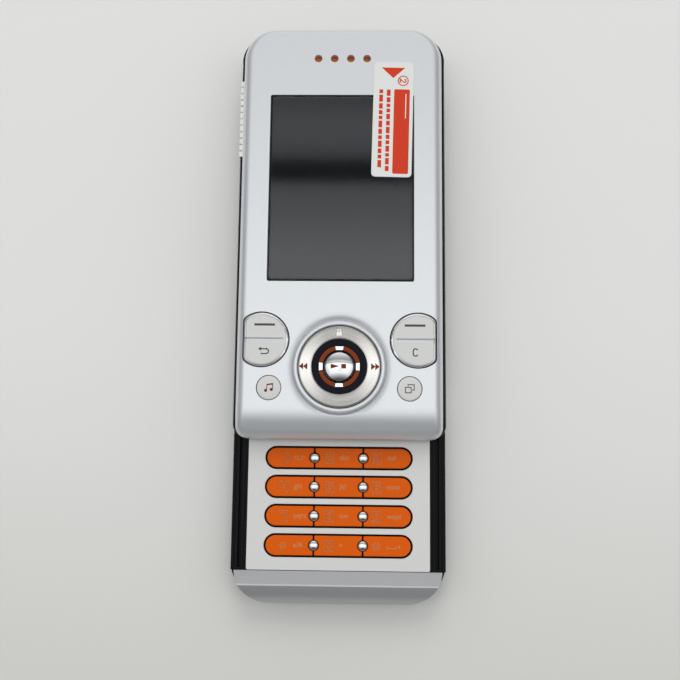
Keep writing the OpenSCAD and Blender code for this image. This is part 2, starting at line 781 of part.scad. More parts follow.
port_in_x = cover_in_w - 2.5;
port_z0 = rear_z + 1.05;
port_z1 = parting_z - 0.1;

module system_connector() {
    y0 = port_y0;
    color([0.85, 0.86, 0.87]) difference() {
        span_box([-body_w / 2 - port_proud, y0, port_z0], [-port_in_x, y0 + port_len, port_z1]);
        for (i = [0 : port_contacts - 1])
            span_box([-far, y0 + 1 + i * (port_len - 2) / port_contacts, port_z0 + 0.5],
                [-body_w / 2 + 1, y0 + 1.7 + i * (port_len - 2) / port_contacts, port_z1 - 0.4]);
    }
}

module nav_bezel() {
    top = face_z + bezel_proud;
    r_in = ring_r + key_gap;
    color([0.75, 0.76, 0.77]) translate([0, nav_cy, 0]) rotate_extrude() {
        translate([r_in, face_z - bezel_seat]) square([bezel_r - r_in, bezel_seat]);
        intersection() {
            translate([r_in, face_z - 0.4]) square([bezel_r - r_in, bezel_proud + 0.4]);
            translate([r_in + 0.25, top - 0.85]) circle(0.85);
        }
    }
}

nav_pad_z = upper_board_top + 0.3;

// Rubber boot that carries the ring on the board and lets it rock
module nav_pad() {
    color([0.25, 0.25, 0.26]) translate([0, nav_cy, 0]) difference() {
        translate([0, 0, nav_pad_z]) cylinder(r = 5.2, h = nav_pivot_z + 0.5 - nav_pad_z);
        cylinder(r = nav_hole_r, h = far);
    }
}

nav_under_z = nav_pivot_z + 0.7;
inlay_seat_z = face_z - 0.7;

module nav_ring() {
    color([0.7, 0.7, 0.7]) translate([0, nav_cy, 0]) {
        rotate_extrude() {
            translate([disc_r, nav_under_z]) square([ring_r - disc_r, face_z + 0.05 - nav_under_z]);
            translate([nav_hole_r, nav_under_z])
                square([disc_r - nav_hole_r + eps, inlay_seat_z - nav_under_z]);
            intersection() {
                translate([disc_r, face_z]) square([ring_r - disc_r, 1]);
                translate([(disc_r + ring_r) / 2, face_z - 4.3]) circle(4.65);
            }
        }
        for (a = [0 : 90 : 270]) rotate(a) translate([switch_r, 0, plunger_z + 0.1])
            cylinder(r = 0.7, h = nav_under_z - plunger_z);
    }
}

module nav_inlay() {
    color([0.06, 0.06, 0.06]) translate([0, nav_cy, inlay_seat_z]) difference() {
        cylinder(r = disc_r - 0.03, h = face_z + 0.1 - inlay_seat_z);
        translate([0, 0, -1]) cylinder(r = select_r + key_gap + 0.05, h = 3);
    }
}

module select_key() {
    color([0.85, 0.86, 0.87]) translate([0, nav_cy, 0]) {
        crowned_disc(select_r, nav_under_z, face_z + select_rise, select_crown);
        translate([0, 0, plunger_z]) cylinder(r = 1.4, h = nav_under_z - plunger_z + eps);
    }
}

// Section of a D key's cap from its middle outwards, with the chamfer at its top edge
module d_cap_section(reach, z0, z1) {
    polygon([[0, z0], [reach, z0], [reach, z1 - d_chamfer_h], [reach - d_chamfer_w, z1], [0, z1]]);
}

// Cap of the right-hand D key: a chamfered disc cut by a chamfered straight side
module d_cap(z0, z1) {
    intersection() {
        translate([d_key_x, d_cy, 0]) rotate_extrude() d_cap_section(d_key_r - key_gap, z0, z1);
        translate([0, d_cy + far / 2, 0]) rotate([90, 0, 0])
            linear_extrude(far) d_cap_section(d_key_flat - key_gap, z0, z1);
    }
}

module soft_key() {
    color([0.8, 0.81, 0.82]) {
        difference() {
            union() {
                d_cap(flange_top_z - eps, face_z + d_key_proud - eps);
                translate([0, 0, flange_top_z - key_flange_t]) linear_extrude(key_flange_t)
                    intersection() {
                        d_plan(key_flange - key_gap);
                        translate([0, d_cy - far / 2]) square([d_key_flat, far]);
                    }
            }
            span_box([0, d_cy - 0.12, face_z + d_key_proud - 0.2], [far, d_cy + 0.12, far]);
        }
        for (dy = [-3, 3]) translate([d_key_x, d_cy + dy, plunger_z])
            cylinder(r = 0.7, h = flange_top_z - key_flange_t - plunger_z + eps);
    }
}

module left_soft_key() {
    mirror([1, 0, 0]) soft_key();
}

module right_soft_key() {
    soft_key();
}

module round_key(side) {
    color([0.72, 0.73, 0.75]) translate([side * round_key_x, round_cy, 0]) {
        crowned_disc(round_key_r - key_gap, flange_top_z - eps, face_z, round_key_proud);
        translate([0, 0, flange_top_z - key_flange_t])
            cylinder(r = round_key_r + key_flange, h = key_flange_t);
        translate([0, 0, plunger_z]) cylinder(r = 0.8, h = flange_top_z - key_flange_t - plunger_z + eps);
    }
}

module left_round_key() {
    round_key(-1);
}

module right_round_key() {
    round_key(1);
}

module power_key() {
    end_y = upper_y1 - top_lip;
    z0 = rear_floor_z + key_gap;
    z1 = parting_z - 0.3 - key_gap;
    color([0.08, 0.08, 0.09])
        span_box([-power_len / 2, end_y - 2.1, z0], [power_len / 2, end_y + 0.2, z1]);
}

// ---------------------------------------------------------------- lower half

// Everything inside the rounded end of the chin, seen from the side
module end_profile() {
    roll_z = chin_z - chin_roll;
    translate([-far / 2, 0, 0]) rotate([90, 0, 90]) linear_extrude(far) union() {
        intersection() {
            translate([base_y0 + chin_roll, roll_z]) circle(chin_roll);
            translate([base_y0, roll_z]) square(chin_roll);
        }
        intersection() {
            translate([base_y0 + chin_under_roll, roll_z]) circle(chin_under_roll);
            translate([base_y0, roll_z - chin_under_roll]) square(chin_under_roll);
        }
        translate([base_y0 + chin_under_roll, 0]) square([far, roll_z]);
        translate([base_y0 + chin_roll, roll_z]) square([far, far]);
    }
}

// The chin's volume above the housing, with its ramp
module chin_volume(grow) {
    slope_y = ramp_y + grow;
    intersection() {
        plate(cover_w + 2 * grow, base_y0, far, chin_r, 1, base_floor + seam, far);
        end_profile();
        union() {
            translate([-far / 2, 0, 0]) rotate([90, 0, 90]) linear_extrude(far) polygon([
                [base_y0 - 1, rail_foot_z + seam - grow], [slope_y, rail_foot_z + seam - grow],
                [slope_y, plate_z], [crest_y, chin_z], [base_y0 - 1, chin_z + (crest_y - base_y0 + 1) * 0.02]
            ]);
            span_box([-far, base_y0 - 1, 0], [far, base_end_y + 0.5 + grow, chin_z - 1]);
        }
    }
}

module base_outline_block(y0) {
    translate([0, 0, rail_z]) mirror([0, 0, 1])
        rim_block(body_w, y0, base_y1, base_bottom_r, base_top_r, rail_z, base_roll);
}

// Plan of the battery cover, grown by the seam for its opening
module lid_plan(grow) {
    translate([-lid_half_w - grow, base_y0 - 1])
        square([2 * (lid_half_w + grow), lid_y - base_y0 + 1 - 2 + grow]);
    translate([-lid_half_w - grow + 2, lid_y - 3]) square([2 * (lid_half_w + grow - 2), 3 + grow]);
    for (side = [-1, 1]) translate([side * (lid_half_w + grow - 2), lid_y + grow - 2]) circle(2);
}

// Pocket for a side key, with room for its travel
module side_key_room(y, length) {
    half_len = length / 2 + key_gap;
    half_h = side_key_h / 2 + key_gap;
    span_box([side_key_x - 0.9, y - half_len, side_key_z - half_h], [far, y + half_len, side_key_z + half_h]);
}

module lower_housing() {
    color([0.06, 0.06, 0.07]) difference() {
        base_outline_block(base_end_y);
        chin_volume(seam);
        // keypad plate, boards and slide plate
        plate(2 * rail_x0, ramp_y - seam, base_y1 - 0.8, 0.5, 4.6, main_board_z, far);
        // rails
        for (side = [0, 1]) mirror([side, 0, 0])
            span_box([rail_x0 - 1, ramp_y - seam, rail_foot_z], [far, rail_y1 + seam, far]);
        // battery and SIM bay, open at the back
        span_box([-bay_half_w, bay_y0, -1], [bay_half_w, lid_y - 1.2, far]);
        // bay of the camera, loudspeaker and motor
        plate(2 * bay_half_w, upper_bay_y0, upper_bay_y1, 0.5, 3, base_floor, far);
        // battery cover
        translate([0, 0, -1]) linear_extrude(1 + base_floor) lid_plan(seam);
        // camera window and lens
        translate([0, camera_y, -1]) cylinder(r = camera_r + 0.05, h = 1.6);
        translate([0, camera_y, -1]) cylinder(r = camera_r - 0.8, h = 3);
        // loudspeaker slots
        for (i = [0 : speaker_slots - 1])
            translate([(speaker_x0 + speaker_x1) / 2 + (i - (speaker_slots - 1) / 2) * 1.6, camera_y, -1])
            linear_extrude(3) rotate(90) pill(7, 0.4);
        // side keys
        side_key_room(volume_y, volume_len);
        side_key_room(shutter_y, shutter_len);
        // screws
        for (side = [-1, 1]) {
            translate([side * screw_x, screw_y[0], 0]) {
                cylinder(r = screw_r + 0.1, h = far);
                cylinder(r = screw_head_r + 0.1, h = base_floor + screw_head_t + 0.1);
            }
            translate([side * screw_x, screw_y[1], -1]) {
                cylinder(r = screw_r + 0.1, h = far);
                cylinder(r = screw_head_r + 0.1, h = 1 + 0.3 + screw_head_t + 0.1);
            }
        }
    }
}

// Section of the right-hand rail: a T-shaped slot with its lip on the inside, and two grooves
module rail_section() {
    difference() {
        translate([rail_x0, rail_foot_z + eps]) square([body_w / 2 - rail_x0, rail_z - rail_foot_z - eps]);
        translate([slot_outer_x - slot_mouth, rail_z - slot_depth]) square([slot_mouth, slot_depth + 1]);
        translate([slot_outer_x - slot_width, rail_z - slot_depth]) square([slot_width, slot_under]);
        translate([rail_x0 + 0.35, rail_z - groove_depth]) square([groove_w, 1]);
        translate([slot_outer_x + 0.55, rail_z - groove_depth]) square([groove_w, 1]);
    }
}

module rail() {
    color([0.07, 0.07, 0.08]) difference() {
        translate([0, rail_y1, 0]) rotate([90, 0, 0]) linear_extrude(rail_y1 - ramp_y) rail_section();
        chin_volume(seam);
    }
    color([0.07, 0.07, 0.08]) for (ends = [[ramp_y + seam, slot_y0], [slot_y1, rail_y1]])
        span_box([slot_outer_x - slot_width - eps, ends[0] + eps, rail_z - slot_depth - eps],
            [slot_outer_x + eps, ends[1], rail_z - eps]);
}

module left_rail() {
    mirror([1, 0, 0]) rail();
}

module right_rail() {
    rail();
}

// A sheet cover with turned-down edges that stand on the main board
module plate_tray(y0, y1, r1, top_z, t, wall, boss_y) {
    difference() {
        plate(plate_w, y0, y1, 0.4, r1, plate_foot_z, top_z - plate_foot_z);
        plate(plate_w - 2 * wall, y0 + wall, y1 - wall, 0.3, max(r1 - wall, 0.3), plate_foot_z - 1,
            top_z - t - plate_foot_z + 1);
    }
    for (side = [-1, 1]) translate([side * screw_x, boss_y, plate_foot_z]) difference() {
        cylinder(r = tray_boss_r, h = top_z - t - plate_foot_z + eps);
        translate([0, 0, -eps]) cylinder(r = screw_r + 0.05, h = top_z - t - plate_foot_z);
    }
}

module slide_base_plate() {
    color([0.55, 0.56, 0.57]) difference() {
        plate_tray(plate_y1 + seam, base_y1 - 0.9, 4.4, plate_z - 0.1, 0.4, 0.5, screw_y[1]);
        flex_slot(plate_z - 1, far);
    }
}

module chin_cover() {
    color([0.72, 0.73, 0.75]) difference() {
        chin_volume(0);
        translate([0, base_end_y + 2.6, rail_foot_z]) cylinder(r = 2.1, h = 2.2);
    }
}

row_places = [for (i = [3 : -1 : 0]) ramp_y + row_y + i * row_pitch];

// A pill: the opening of a key row, grown or shrunk
module row_plan(grow) {
    pill(row_w + 2 * grow, row_h / 2 + grow);
}

module keypad_plate() {
    color([0.9, 0.9, 0.88]) difference() {
        plate_tray(ramp_y + seam, plate_y1, 0.4, plate_z, plate_t, 0.5, screw_y[0]);
        for (y = row_places) translate([0, y, 0]) linear_extrude(far) row_plan(0);
    }
}

module keypad_pips() {
    color([0.85, 0.86, 0.87]) for (y = row_places, side = [-1, 1])
        translate([side * pip_x, y, 0])
            crowned_disc(pip_r, key_mat_z + 0.4, plate_z - 0.15, pip_proud + 0.15);
}

key_mat_z = main_board_top + eps;

module key_mat() {
    color([0.3, 0.3, 0.32]) translate([0, 0, key_mat_z]) {
        linear_extrude(0.15) outline(row_w + 2.8, ramp_y + 1, plate_y1 - 0.8, 0.4, 0.4);
        for (y = row_places, x = [-11, 0, 11]) translate([x, y, 0.14])
            cylinder(r = 1.3, h = 0.2);
        for (y = row_places, side = [-1, 1]) translate([side * pip_x, y, 0.14])
            cylinder(r = 0.9, h = 0.24);
    }
}

// One key of a row: column 0 is the left one, 1 the middle one and 2 the right one
module number_key(column, row) {
    y = row_places[row];
    color([0.88, 0.4, 0.08]) translate([0, y, plate_z - key_t]) linear_extrude(key_t) difference() {
        intersection() {
            row_plan(-row_gap);
            translate([[-far, -pip_x, pip_x][column] + key_split / 2, -row_h])
                square([[far - pip_x, 2 * pip_x, far][column] - key_split, 2 * row_h]);
        }
        for (side = [-1, 1]) translate([side * pip_x, 0]) circle(pip_r + key_gap);
    }
}

module main_board() {
    color([0.1, 0.35, 0.2]) difference() {
        plate(2 * rail_x0 - 0.2, ramp_y, base_y1 - 1, 0.5, 4.4, main_board_z + eps, board_t - eps);
        for (side = [-1, 1]) {
            translate([side * screw_x, screw_y[0], 0]) cylinder(r = screw_r + 0.15, h = far);
            translate([side * screw_x, screw_y[1], 0]) cylinder(r = screw_r + 0.15, h = far);
        }
    }
}

module battery() {
    color([0.2, 0.2, 0.22]) plate(battery_w, battery_y0, battery_y1, 1.5, 1.5, battery_z, battery_t);
}

module battery_contacts() {
    color([0.85, 0.7, 0.3]) {
        for (x = [-4, 0, 4])
            span_box([x - 0.8, battery_y1 + 0.05, 2], [x + 0.8, battery_y1 + 1.2, main_board_z]);
        span_box([-6, battery_y1 + 0.7, 2.4], [6, battery_y1 + 1.4, main_board_z]);
    }
}

module battery_cover() {
    color([0.78, 0.79, 0.8]) difference() {
        intersection() {
            linear_extrude(lid_t) lid_plan(0);
            end_profile();
            base_lid_block();
        }
        for (i = [0 : 2]) translate([0, lid_y - 4 - i * 1.5, -1])
            linear_extrude(1 + grip_depth) pill(grip_len, 0.45);
    }
}

// The plan corners of the chin cut the battery cover too
module base_lid_block() {
    plate(cover_w, base_y0, base_y1, chin_r, 1, -1, far);
}

module sim_card() {
    y0 = sim_y0;
    z1 = main_board_z - 0.25;
    color([0.9, 0.9, 0.86]) translate([0, 0, z1 - sim_t]) linear_extrude(sim_t) difference() {
        outline(sim_w, y0, y0 + sim_len, 1, 1);
        translate([sim_w / 2, y0 + sim_len]) rotate(45) square(4, center = true);
    }
}

module sim_holder() {
    y0 = sim_y0;
    z1 = main_board_z;
    color([0.7, 0.71, 0.72]) {
        span_box([-sim_w / 2 - 0.6, y0 - 0.1, z1 - 0.2], [sim_w / 2 + 0.6, y0 + sim_len + 0.1, z1]);
        for (side = [-1, 1]) span_box(
            [min(side * (sim_w / 2 + 0.1), side * (sim_w / 2 + 0.6)), y0 - 0.1, z1 - sim_t - 0.9],
            [max(side * (sim_w / 2 + 0.1), side * (sim_w / 2 + 0.6)), y0 + sim_len + 0.1, z1]);
    }
}

module camera_module() {
    color([0.1, 0.1, 0.11]) translate([0, camera_y, 0]) {
        translate([-camera_w / 2, -camera_w / 2, base_floor + 0.05])
            cube([camera_w, camera_w, main_board_z - base_floor - 0.1]);
        translate([0, 0, 0.65]) cylinder(r = camera_r - 0.9, h = 1);
    }
}

module camera_window() {
    color([0.15, 0.16, 0.2]) translate([0, camera_y, 0.1]) cylinder(r = camera_r, h = 0.48);
}

module loudspeaker() {
    color([0.15, 0.15, 0.16]) translate([(speaker_x0 + speaker_x1) / 2, camera_y, base_floor + 0.05])
        linear_extrude(main_board_z - base_floor - 0.65)
        outline(speaker_x1 - speaker_x0, -speaker_len / 2, speaker_len / 2, 2, 2);
}

module vibration_motor() {
    r = (main_board_z - base_floor - 0.25) / 2;
    weight_x = bay_half_w - 0.42 - motor_weight_t;
    axis_z = base_floor + 0.15 + r;
    color([0.7, 0.71, 0.72]) translate([weight_x + eps - motor_len, camera_y, axis_z])
        rotate([0, 90, 0]) cylinder(r = r, h = motor_len);
    color([0.6, 0.6, 0.55]) translate([weight_x, camera_y, axis_z]) rotate([0, 90, 0]) difference() {
        cylinder(r = r - 0.2, h = motor_weight_t);
        translate([0, -4, -1]) cube([8, 8, 8]);
    }
}

module antenna() {
    color([0.85, 0.83, 0.75]) span_box([-antenna_w / 2, camera_y + speaker_len / 2 + 0.4, base_floor + 0.05],
        [antenna_w / 2, upper_bay_y1 - 0.2, main_board_z - 0.05]);
}

module microphone() {
    color([0.6, 0.6, 0.6]) translate([0, base_end_y + 2.6, rail_foot_z + 0.1]) cylinder(r = 2, h = 1.5);
}

module side_key(y, length) {
    span_box([side_key_x, y - length / 2, side_key_z - side_key_h / 2],
        [body_w / 2 + side_key_proud, y + length / 2, side_key_z + side_key_h / 2]);
}

module volume_key() {
    color([0.1, 0.1, 0.11]) side_key(volume_y, volume_len);
}

module camera_key() {
    color([0.1, 0.1, 0.11]) side_key(shutter_y, shutter_len);
}

module lower_screws() {
    color([0.45, 0.46, 0.48]) for (side = [-1, 1]) {
        translate([side * screw_x, screw_y[0], base_floor + 0.05]) screw(plate_z - 1 - base_floor - 0.05);
        translate([side * screw_x, screw_y[1], 0.3]) screw(plate_z - 1 - 0.3);
    }
}

front_cover();
slider_rear_cover();
slide_carriage();
upper_screws();
display_window();
screen_film();
film_tab();
display_frame();
display_panel();
upper_board();
upper_dome_sheet();
earpiece_mesh();
earpiece();
flex_cable();
system_connector();
nav_bezel();
nav_pad();
nav_ring();
nav_inlay();
select_key();
left_soft_key();
right_soft_key();
left_round_key();
right_round_key();
power_key();
lower_housing();
left_rail();
right_rail();
slide_base_plate();
chin_cover();
keypad_plate();
keypad_pips();
key_mat();
number_key(0, 0);  // key_1
number_key(1, 0);  // key_2
number_key(2, 0);  // key_3
number_key(0, 1);  // key_4
number_key(1, 1);  // key_5
number_key(2, 1);  // key_6
number_key(0, 2);  // key_7
number_key(1, 2);  // key_8
number_key(2, 2);  // key_9
number_key(0, 3);  // key_star
number_key(1, 3);  // key_0
number_key(2, 3);  // key_hash
main_board();
battery();
battery_contacts();
battery_cover();
sim_card();
sim_holder();
camera_module();
camera_window();
loudspeaker();
vibration_motor();
antenna();
microphone();
volume_key();
camera_key();
lower_screws();
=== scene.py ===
import json
import math

import bmesh
import bpy
from mathutils import Matrix, Vector

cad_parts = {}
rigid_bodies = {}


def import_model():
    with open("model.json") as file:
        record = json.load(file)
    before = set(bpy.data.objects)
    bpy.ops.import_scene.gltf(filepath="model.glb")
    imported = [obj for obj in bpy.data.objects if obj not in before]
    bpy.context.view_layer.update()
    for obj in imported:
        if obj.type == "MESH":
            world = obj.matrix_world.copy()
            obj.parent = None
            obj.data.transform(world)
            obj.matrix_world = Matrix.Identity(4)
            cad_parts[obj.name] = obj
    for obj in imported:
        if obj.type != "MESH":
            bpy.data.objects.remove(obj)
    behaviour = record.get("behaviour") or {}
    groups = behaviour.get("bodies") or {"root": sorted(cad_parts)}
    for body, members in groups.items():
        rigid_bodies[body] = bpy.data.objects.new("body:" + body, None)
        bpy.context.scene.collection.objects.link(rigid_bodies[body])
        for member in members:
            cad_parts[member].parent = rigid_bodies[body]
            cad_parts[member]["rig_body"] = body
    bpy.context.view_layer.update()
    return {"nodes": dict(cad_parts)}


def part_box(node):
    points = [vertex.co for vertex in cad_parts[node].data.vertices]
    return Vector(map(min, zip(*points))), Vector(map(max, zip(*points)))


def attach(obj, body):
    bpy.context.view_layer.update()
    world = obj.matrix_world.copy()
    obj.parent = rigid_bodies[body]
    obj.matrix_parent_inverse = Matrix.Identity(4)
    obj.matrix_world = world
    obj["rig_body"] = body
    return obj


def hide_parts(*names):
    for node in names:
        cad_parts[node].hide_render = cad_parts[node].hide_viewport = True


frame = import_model()

MM = 0.001


def add_object(name, data, material=None):
    """Puts data in the scene as an object, with one material where it takes one."""
    obj = bpy.data.objects.new(name, data)
    bpy.context.scene.collection.objects.link(obj)
    if material:
        data.materials.clear()
        data.materials.append(MATERIALS[material])
    return obj


class Graph:
    """Short calls that add nodes to a material or a world."""

    def __init__(self, owner):
        owner.use_nodes = True
        self.nodes, self.links = owner.node_tree.nodes, owner.node_tree.links

    def put(self, socket, value):
        """Links the socket to another one, or sets it to a constant."""
        if isinstance(value, bpy.types.NodeSocket):
            self.links.new(value, socket)
        else:
            socket.default_value = value

    def add(self, kind, inputs=(), **settings):
        node = self.nodes.new("ShaderNode" + kind)
        for name, value in settings.items():
            setattr(node, name, value)
        for name, value in dict(inputs).items():
            self.put(node.inputs[name], value)
        return node

    def math(self, operation, *values):
        return self.add("Math", enumerate(values), operation=operation).outputs[0]

    def map_range(self, value, low_in, high_in, low_out, high_out, **settings):
        inputs = {"Value": value, "From Min": low_in, "From Max": high_in, "To Min": low_out, "To Max": high_out}
        return self.add("MapRange", inputs, **settings).outputs["Result"]

    def mix(self, data_type, factor, a, b):
        return self.add("Mix", {"Factor": factor, "A": a, "B": b}, data_type=data_type).outputs["Result"]


# -------------------- camera, light and floor

def set_camera():
    """The camera that was fitted to the photograph."""
    focal_px, width_px = 890.672, 680
    place = Vector((4.9326, -19.8312, 205.8525)) * MM
    camera = bpy.data.cameras.new("camera")
    camera.sensor_width = 36
    camera.lens = focal_px * camera.sensor_width / width_px
    camera.clip_start, camera.clip_end = 0.01, 10
    holder = add_object("camera", camera)
    turn = (Matrix.Rotation(0.011463, 4, "Z") @ Matrix.Rotation(0.023563, 4, "Y")
            @ Matrix.Rotation(0.142364, 4, "X"))
    holder.matrix_world = Matrix.Translation(place) @ turn
    bpy.context.scene.camera = holder


def add_lamp(name, place, aim, size, power, color):
    """A round area lamp that lights the object and isn't mirrored in it."""
    lamp = bpy.data.lights.new(name, "AREA")
    lamp.shape = "DISK"
    lamp.size = size
    lamp.energy = power
    lamp.color = color
    holder = add_object(name, lamp)
    holder.location = place
    holder.rotation_euler = (Vector(aim) - Vector(place)).to_track_quat("-Z", "Y").to_euler()
    holder.visible_glossy = False
    holder.visible_transmission = False


def set_world():
    """A soft room: an even ceiling with a dark beam, brighter towards the far side."""
    world = bpy.data.worlds.new("room")
    bpy.context.scene.world = world
    graph = Graph(world)
    graph.nodes.clear()
    x, y, z = graph.add("SeparateXYZ", {0: graph.add("TexCoord").outputs["Generated"]}).outputs
    up = graph.math("MAXIMUM", z, 0.001)
    along = graph.math("DIVIDE", y, up)
    across = graph.math("DIVIDE", x, up)
    # brightness of the ceiling, by how far ahead of the zenith it lies
    stops = [(-1.2, 0.4), (-0.6, 0.5), (-0.2, 0.82), (0.0, 1.0), (0.12, 1.14), (0.227, 1.18), (0.255, 1.08),
             (0.285, 0.86), (0.315, 0.74), (0.325, 0.58), (0.333, 0.1), (0.338, 0.04), (0.35, 0.04), (0.357, 0.3),
             (0.366, 0.58), (0.4, 0.7), (0.43, 0.46), (0.47, 0.3), (0.6, 0.32), (0.9, 0.75), (1.3, 1.1)]
    first, last = stops[0][0], stops[-1][0]
    ramp = graph.add("ValToRGB", {0: graph.map_range(along, first, last, 0, 1)})
    elements = ramp.color_ramp.elements
    for place, _ in stops[1:-1]:
        elements.new((place - first) / (last - first))
    for element, (_, level) in zip(elements, stops):
        element.color = (level, level, level, 1)

    def away(side, ahead, half_width, half_length):
        """Squared distance from a place on the ceiling, in units of its half sizes."""
        parts = [graph.math("MULTIPLY", graph.math("ADD", value, -at), 1 / half)
                 for value, at, half in ((across, side, half_width), (along, ahead, half_length))]
        return graph.math("ADD", *[graph.math("MULTIPLY", part, part) for part in parts])

    # darker over the near side, and a little in a small spot overhead
    near_side = graph.map_range(away(0, -0.85, 0.7, 0.5), 0.3, 1.7, 0.12, 1.0)
    overhead = graph.map_range(away(0.02, -0.03, 0.1, 0.1), 0.2, 1.8, 0.8, 1.0)
    sideways = graph.map_range(graph.math("ABSOLUTE", across), 0.45, 1.4, 1.0, 0.18)
    # the light on matt surfaces is more even than the room that glossy ones mirror
    rays = graph.add("LightPath").outputs
    sideways = graph.mix("FLOAT", rays["Is Glossy Ray"], 1.0, sideways)
    low_down = graph.mix("FLOAT", rays["Is Glossy Ray"], graph.map_range(z, 0.0, 0.92, 0.8, 1.05),
                         graph.map_range(z, 0.3, 0.92, 0.42, 1.15))
    brightness, pale = 1.22, 0.66
    level = ramp.outputs["Color"]
    for factor in (near_side, overhead, sideways, low_down, brightness):
        level = graph.math("MULTIPLY", level, factor)
    # seen directly, the room is one pale tone
    level = graph.mix("FLOAT", rays["Is Camera Ray"], level, pale)
    background = graph.add("Background", {"Color": (0.97, 0.985, 1.0, 1), "Strength": level})
    graph.add("OutputWorld", {"Surface": background.outputs[0]})


# -------------------- materials

def srgb(r, g, b):
    """An 8-bit sRGB colour as the linear colour that a shader takes."""
    def channel(v):
        v = v / 255
        return v / 12.92 if v <= 0.04045 else ((v + 0.055) / 1.055) ** 2.4
    return tuple(channel(v) for v in (r, g, b))


def surface(name, color, rough, metallic=0.0, coat=0.0, coat_rough=0.08, spec=0.5, vary=0.06, vary_scale=400,
            grain=0.02, grain_scale=9000, rough_vary=0.05, transmission=0.0, ior=1.5, anisotropic=0.0, rings=False):
    """A Principled material with fine procedural colour, roughness and relief."""
    mat = bpy.data.materials.new(name)
    graph = Graph(mat)
    sockets = graph.nodes["Principled BSDF"].inputs
    for socket, value in (("Base Color", (*color, 1)), ("Roughness", rough), ("Metallic", metallic),
                          ("Specular IOR Level", spec), ("Coat Weight", coat), ("Coat Roughness", coat_rough),
                          ("Transmission Weight", transmission), ("IOR", ior), ("Anisotropic", anisotropic)):
        sockets[socket].default_value = value
    where = graph.add("TexCoord").outputs["Object"]
    if rings:
        # polar coordinates, so that the grain runs round the object's own axis
        x, y, _ = graph.add("SeparateXYZ", {0: where}).outputs
        flat = graph.add("CombineXYZ", {"X": x, "Y": y}).outputs[0]
        radius = graph.add("VectorMath", {0: flat}, operation="LENGTH").outputs["Value"]
        turn = graph.math("MULTIPLY", graph.math("ARCTAN2", y, x), 0.0002)
        where = graph.add("CombineXYZ", {"X": radius, "Y": turn}).outputs[0]
        sockets["Anisotropic Rotation"].default_value = 0.25
        graph.put(sockets["Tangent"], graph.add("Tangent", direction_type="RADIAL", axis="Z").outputs[0])

    def noise(scale, detail):
        return graph.add("TexNoise", {"Vector": where, "Scale": scale, "Detail": detail}).outputs["Fac"]

    if vary:
        dark, light = [(*[min(1, c * share) for c in color], 1) for share in (1 - vary, 1 + vary)]
        tone = graph.mix("RGBA", noise(vary_scale, 3), dark, light)
        if rings:
            # painted highlight and shade: the base colour is made lighter in a band across the ring and darker along
            # it, where brushed metal's reflections would fall
            share = graph.math("DIVIDE", x, radius)
            painted_sheen = graph.map_range(graph.math("MULTIPLY", share, share), 0.15, 1.0, 0.6, 0.96)
            tone = graph.add("VectorMath", {0: tone, "Scale": painted_sheen}, operation="SCALE").outputs[0]
        graph.put(sockets["Base Color"], tone)
    fine = noise(grain_scale, 2)
    if rough_vary:
        gloss = graph.map_range(fine, 0, 1, max(0, rough - rough_vary), min(1, rough + rough_vary))
        graph.put(sockets["Roughness"], gloss)
    relief = graph.add("Bump", {"Strength": grain, "Distance": 0.0001, "Height": fine})
    graph.put(sockets["Normal"], relief.outputs["Normal"])
    return mat


